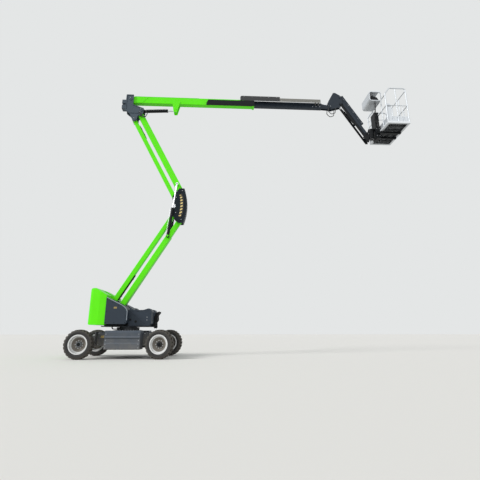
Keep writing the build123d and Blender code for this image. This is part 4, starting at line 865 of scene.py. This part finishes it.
rod_run("jib_rod_run", "jib_rod", ram_pin, RAM_EYE, 0.104, 0.39, 0.0157)
GLAND_START, GLAND_END, GLAND, GLAND_BORE, GLAND_SIDES = 0.55, 0.70, 0.026, 0.0168, 24
way = (RAM_EYE - ram_pin).normalized()
gland = []
for d, radius in ((GLAND_START, GLAND_BORE), (GLAND_START, GLAND), (GLAND_END, GLAND),
                  (GLAND_END, GLAND_BORE)):
    for k in range(GLAND_SIDES):
        turn = 2 * math.pi * k / GLAND_SIDES
        round_way = LEFT * math.cos(turn) + way.cross(LEFT) * math.sin(turn)
        gland.append(ram_pin + way * d + round_way * radius)
walls = []
for a, b in ((0, 1), (1, 2), (2, 3), (3, 0)):
    for k in range(GLAND_SIDES):
        after = (k + 1) % GLAND_SIDES
        low, high = a * GLAND_SIDES, b * GLAND_SIDES
        walls.append((low + k, low + after, high + after, high + k))
add_piece("jib_barrel_gland", [(gland, walls)], black_paint, "jib_barrel", 0.002)
rotator = hinge_at["platform_turn"]
ROTATOR_TOP, ROTATOR_FOOT, ROTATOR_RING, ROTATOR_BOLT = 7.0345, 6.6755, 0.066, 0.0085
RIB_Z, RIB_RING, RIB, RIB_SIDES = (6.74, 6.80, 6.91, 6.97), 0.097, 0.004, 32
bolts = []
for z, facing in ((ROTATOR_TOP, UP), (ROTATOR_FOOT, -UP)):
    bolts += ring_of_bolts(Vector((rotator.x, 0, z)), AHEAD, LEFT, ROTATOR_RING, 12, facing,
                           ROTATOR_BOLT)
bolt_heads("rotator_bolts", "platform", bolts, zinc_plate)
ribs = []
for z in RIB_Z:
    turns = [2 * math.pi * k / RIB_SIDES for k in range(RIB_SIDES + 1)]
    ribs.append(tube_shape([(rotator.x + math.cos(t) * RIB_RING, math.sin(t) * RIB_RING, z)
                            for t in turns], RIB, 6))
add_piece("rotator_rings", ribs, black_paint, "jib_head")

# Platform: welded aluminium rails, gate, toe boards and an open mesh floor with bars
# across it, and the control box with its levers under a sheet hood at the rear.


def bare_alloy(name, colour, roughness):
    """Mill-finish aluminium, slightly dulled."""
    material, shader, place = new_finish(name)
    cloud = place.noise(20.0, 4.0).tint(shaded(colour, 0.9), shaded(colour, 1.06))
    set_input(shader, "Base Color", cloud)
    set_input(shader, "Metallic", 0.5)
    set_input(shader, "Roughness", place.noise(35.0) * 0.2 + roughness)
    bumped(shader, place.noise(60.0, 1.0), 0.02, 0.001)
    return material


rail_alloy = bare_alloy("rail_alloy", linear(192, 196, 200), 0.36)
dress(rail_alloy, "platform_hoops", "platform_rails", "platform_gate", "toe_boards", "console_hood")
dress(link_plastic, "console")
(floor_x0, floor_y0, floor_z0), (floor_x1, floor_y1, floor_z1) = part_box("platform_floor")
FLOOR_EDGE = 0.031
MESH_ACROSS, MESH_ALONG, MESH_STRAND = 190.0, 95.0, -0.15


def floor_mesh_alloy(name):
    """Pale alloy edge frame round a floor sheet painted dark as the shade under the platform, open
    between its strands.
    """
    material, shader, place = new_finish(name)
    inside = (place.axis("X") > floor_x0 + FLOOR_EDGE) * (place.axis("X") < floor_x1 - FLOOR_EDGE)
    inside = inside * (place.axis("Y") > floor_y0 + FLOOR_EDGE)
    inside = inside * (place.axis("Y") < floor_y1 - FLOOR_EDGE)
    across, along = place.axis("Y") * MESH_ACROSS, place.axis("X") * MESH_ALONG
    lean = place.maths("SINE", across + along)
    counter = place.maths("SINE", across - along)
    opening = inside * (lean > MESH_STRAND) * (counter > MESH_STRAND)
    set_input(shader, "Alpha", 1.0 - opening)
    # The sheet's dark grey is painted shade: the middle of the floor in the shade under the
    # platform.
    sheet_painted_shade = place.noise(30.0).tint(linear(40, 42, 44), linear(70, 73, 76))
    edge = place.noise(20.0, 4.0).tint(linear(196, 199, 202), linear(220, 223, 226))
    set_input(shader, "Base Color", inside.tint(edge, sheet_painted_shade))
    set_input(shader, "Metallic", 0.3)
    set_input(shader, "Roughness", place.noise(35.0) * 0.2 + 0.42)
    return material


dress(floor_mesh_alloy("floor_sheet"), "platform_floor")


def slat_tree():
    """Geometry Nodes that lay equal bars side by side on points."""
    tree, given, node = pattern_tree("slat_pattern", "Line", "Bar Size", "Vector")
    bar = node("GeometryNodeMeshCube", None, {"Size": given["Bar Size"]})
    placed = node("GeometryNodeInstanceOnPoints", None,
                  {"Points": given["Line"], "Instance": bar.outputs["Mesh"]})
    end_pattern(node, placed, given["Finish"])
    return tree


SLAT_PATTERN = slat_tree()


def slats(name, body, points, size, material):
    """Equal bars at points, as one plain piece."""
    mesh = bpy.data.meshes.new(name + "_line")
    mesh.from_pydata(points, [], [])
    lay_pattern(name, body, mesh, SLAT_PATTERN, {"Bar Size": size}, material)


FLANGE, FLANGE_THICK = 0.065, 0.003
BEAM_NEAR, BEAM_FAR = 0.145, 0.215
low_z, inner_y1 = floor_z0 - FLANGE_THICK, floor_y1 - FLANGE
flanges = []
for y0, y1 in ((floor_y0, floor_y0 + FLANGE), (inner_y1, floor_y1)):
    flanges.append(box_shape(floor_x0, floor_x1, y0, y1, low_z, floor_z0))
for x0, x1 in ((floor_x0, floor_x0 + FLANGE), (floor_x1 - FLANGE, floor_x1)):
    for y0, y1 in ((-BEAM_NEAR, BEAM_NEAR), (-inner_y1, -BEAM_FAR), (BEAM_FAR, inner_y1)):
        flanges.append(box_shape(x0, x1, y0, y1, low_z, floor_z0))
add_piece("floor_flanges", flanges, rail_alloy, "platform")
BAR, BAR_HIGH, CROSS_BAR_HIGH, BAR_EDGE = 0.004, 0.006, 0.0058, 0.033
BARS_ACROSS, BARS_ALONG = 44, 10
bar_z = floor_z1 - BAR_HIGH / 2
mid_x, mid_y = (floor_x0 + floor_x1) / 2, (floor_y0 + floor_y1) / 2
long_x, long_y = floor_x1 - floor_x0 - 2 * BAR_EDGE, floor_y1 - floor_y0 - 2 * BAR_EDGE
across = [(mid_x, floor_y0 + BAR_EDGE + long_y * (k + 0.5) / BARS_ACROSS, bar_z)
          for k in range(BARS_ACROSS)]
slats("floor_bars_across", "platform", across, (long_x, BAR, BAR_HIGH), rail_alloy)
along = [(floor_x0 + BAR_EDGE + long_x * (k + 0.5) / BARS_ALONG, mid_y, bar_z)
         for k in range(BARS_ALONG)]
slats("floor_bars_along", "platform", along, (BAR, long_y, CROSS_BAR_HIGH), rail_alloy)


def stick(foot, low, high, radius, sides):
    """A short round bar between two offsets, given as (ahead, up), from a foot."""
    return tube_shape([foot + AHEAD * x + UP * z for x, z in (low, high)], radius, sides)


(box_x0, box_y0, _), (_, box_y1, box_z1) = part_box("console")
LEVER_IN, LEVER_SIDE_IN, LEVER_SUNK = 0.11, 0.09, 0.04
levers, switches = [], []
for y in (box_y0 + LEVER_SIDE_IN, box_y1 - LEVER_SIDE_IN):
    foot = Vector((box_x0 + LEVER_IN, y, box_z1 - LEVER_SUNK))
    levers.append(stick(foot, (0, 0), (0, 0.02), 0.028, 16))
    levers.append(stick(foot, (0, 0.015), (0.005, 0.085), 0.008, 10))
    levers.append(stick(foot, (0.005, 0.075), (0.006, 0.115), 0.017, 14))
add_piece("console_levers", levers, pad_rubber, "platform", 0.003)
stop = Vector((box_x0 + 0.13, (box_y0 + box_y1) / 2 + 0.06, box_z1 - 0.045))
red_knob = spray_paint("red_knob", linear(196, 24, 20), 0.35, 0.2)
knob = [stick(stop, (0, -0.025), (0.01, 0.03), 0.012, 12),
        stick(stop, (0.01, 0.03), (0.015, 0.045), 0.022, 18)]
add_piece("console_stop_knob", knob, red_knob, "platform", 0.003)
for y in evenly(box_y0 + 0.17, box_y0 + 0.41, 7):
    foot = Vector((box_x0 + 0.09, y, box_z1 - 0.03))
    switches.append(stick(foot, (0, 0), (0, 0.012), 0.007, 10))
    switches.append(stick(foot, (0, 0.01), (0.006, 0.03), 0.003, 8))
add_piece("console_switches", switches, zinc_plate, "platform")
(gate_x0, gate_y0, gate_z0), (gate_x1, gate_y1, gate_z1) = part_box("platform_gate")
CATCH_IN, CATCH_HEIGHT = 0.038, 0.62
hinge_x = hinge_at["gate"].x
free_x = gate_x0 if abs(gate_x1 - hinge_x) < abs(gate_x0 - hinge_x) else gate_x1
catch_x = free_x + (CATCH_IN if free_x < hinge_x else -CATCH_IN)
catch = Vector((catch_x, (gate_y0 + gate_y1) / 2, gate_z0 + CATCH_HEIGHT * (gate_z1 - gate_z0)))
latch = [stick(catch, (0, -0.045), (0, 0.045), 0.011, 14),
         stick(catch, (0, 0.04), (0, 0.06), 0.006, 10)]
add_piece("gate_catch", latch, zinc_plate, "platform_gate", 0.002)
(toe_x0, toe_y0, toe_z0), (toe_x1, toe_y1, _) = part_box("toe_boards")
RIVET, RIVET_HEAD = 0.006, 0.3
rivets = []
for z in (toe_z0 + 0.03, toe_z0 + 0.16):
    rivets += [(Vector((toe_x1, y, z)), AHEAD, RIVET)
               for y in evenly(toe_y0 + 0.08, toe_y1 - 0.08, 6)]
    rivets += [(Vector((x, toe_y0, z)), RIGHT, RIVET)
               for x in evenly(toe_x0 + 0.1, toe_x1 - 0.1, 3)]
bolt_heads("toe_board_rivets", "platform", rivets, zinc_plate, RIVET_HEAD)
MOUNT_SIDE, MOUNT_BOLT = 0.151, 0.011
MOUNT_BOLTS_X, MOUNT_BOLTS_Z = (7.515, 7.6), (6.75, 7.0, 7.25, 7.5)
bolts = [(Vector((x, hand.y * MOUNT_SIDE, z)), hand, MOUNT_BOLT)
         for hand in HANDS for z in MOUNT_BOLTS_Z for x in MOUNT_BOLTS_X]
bolt_heads("mount_bolts", "platform", bolts, zinc_plate)

# Camera, floor and light: a long look from low on the right side, on a pale floor
# under a bright even sky.
EYE = Vector((2.431, -11.048, 0.692))
EYE_YAW = -0.056
EYE_PITCH = 0.296
PICTURE = 480
FOCAL_PIXELS = 383.0
CENTRE_ROW = 213.5

camera_data = bpy.data.cameras.new("camera")
camera_data.sensor_width = 36.0
camera_data.lens = FOCAL_PIXELS / PICTURE * camera_data.sensor_width
camera_data.shift_y = (CENTRE_ROW - PICTURE / 2) / PICTURE
camera_data.clip_end = 200.0
camera = bpy.data.objects.new("camera", camera_data)
bpy.context.scene.collection.objects.link(camera)
camera.location = EYE
look = Vector((-math.sin(EYE_YAW) * math.cos(EYE_PITCH), math.cos(EYE_YAW) * math.cos(EYE_PITCH),
               math.sin(EYE_PITCH)))
camera.rotation_euler = look.to_track_quat("-Z", "Y").to_euler()
bpy.context.scene.camera = camera
bpy.context.scene.view_settings.view_transform = "Standard"

FLOOR = 60.0
floor_mesh = bpy.data.meshes.new("floor")
floor_mesh.from_pydata([(-FLOOR, -FLOOR, 0), (FLOOR, -FLOOR, 0), (FLOOR, FLOOR, 0),
                        (-FLOOR, FLOOR, 0)], [], [(0, 1, 2, 3)])
floor = bpy.data.objects.new("floor", floor_mesh)
bpy.context.scene.collection.objects.link(floor)
floor_finish, floor_shader, _ = new_finish("floor_finish")
set_input(floor_shader, "Base Color", linear(216, 214, 209))
set_input(floor_shader, "Roughness", 0.9)
floor_mesh.materials.append(floor_finish)

sky = bpy.data.worlds.new("sky")
bpy.context.scene.world = sky
sky.use_nodes = True
sky_tree = sky.node_tree
sky_light = sky_tree.nodes["Background"]
sky_light.inputs["Color"].default_value = (0.80, 0.83, 0.86, 1.0)
sky_light.inputs["Strength"].default_value = 0.68
sky_seen = sky_tree.nodes.new("ShaderNodeBackground")
sky_seen.inputs["Color"].default_value = linear(228, 230, 230)
sky_seen.inputs["Strength"].default_value = 1.0
path = sky_tree.nodes.new("ShaderNodeLightPath").outputs
seen = Shade(sky_tree, path["Is Camera Ray"])
for kind in ("Is Glossy Ray", "Is Transmission Ray"):
    seen = seen.maths("MAXIMUM", seen, Shade(sky_tree, path[kind]))
sky_mix = sky_tree.nodes.new("ShaderNodeMixShader")
sky_tree.links.new(seen.socket, sky_mix.inputs[0])
sky_tree.links.new(sky_light.outputs[0], sky_mix.inputs[1])
sky_tree.links.new(sky_seen.outputs[0], sky_mix.inputs[2])
sky_tree.links.new(sky_mix.outputs[0], sky_tree.nodes["World Output"].inputs["Surface"])


def lamp(name, direction, strength, spread):
    """A soft distant lamp that shines along a direction."""
    data = bpy.data.lights.new(name, "SUN")
    data.energy = strength
    data.angle = math.radians(spread)
    one = bpy.data.objects.new(name, data)
    one.rotation_euler = Vector(direction).to_track_quat("-Z", "Y").to_euler()
    bpy.context.scene.collection.objects.link(one)


lamp("key_light", (0.9, 0.5, -0.65), 2.6, 20)
lamp("fill_light", (-0.3, 0.9, -0.35), 0.8, 60)
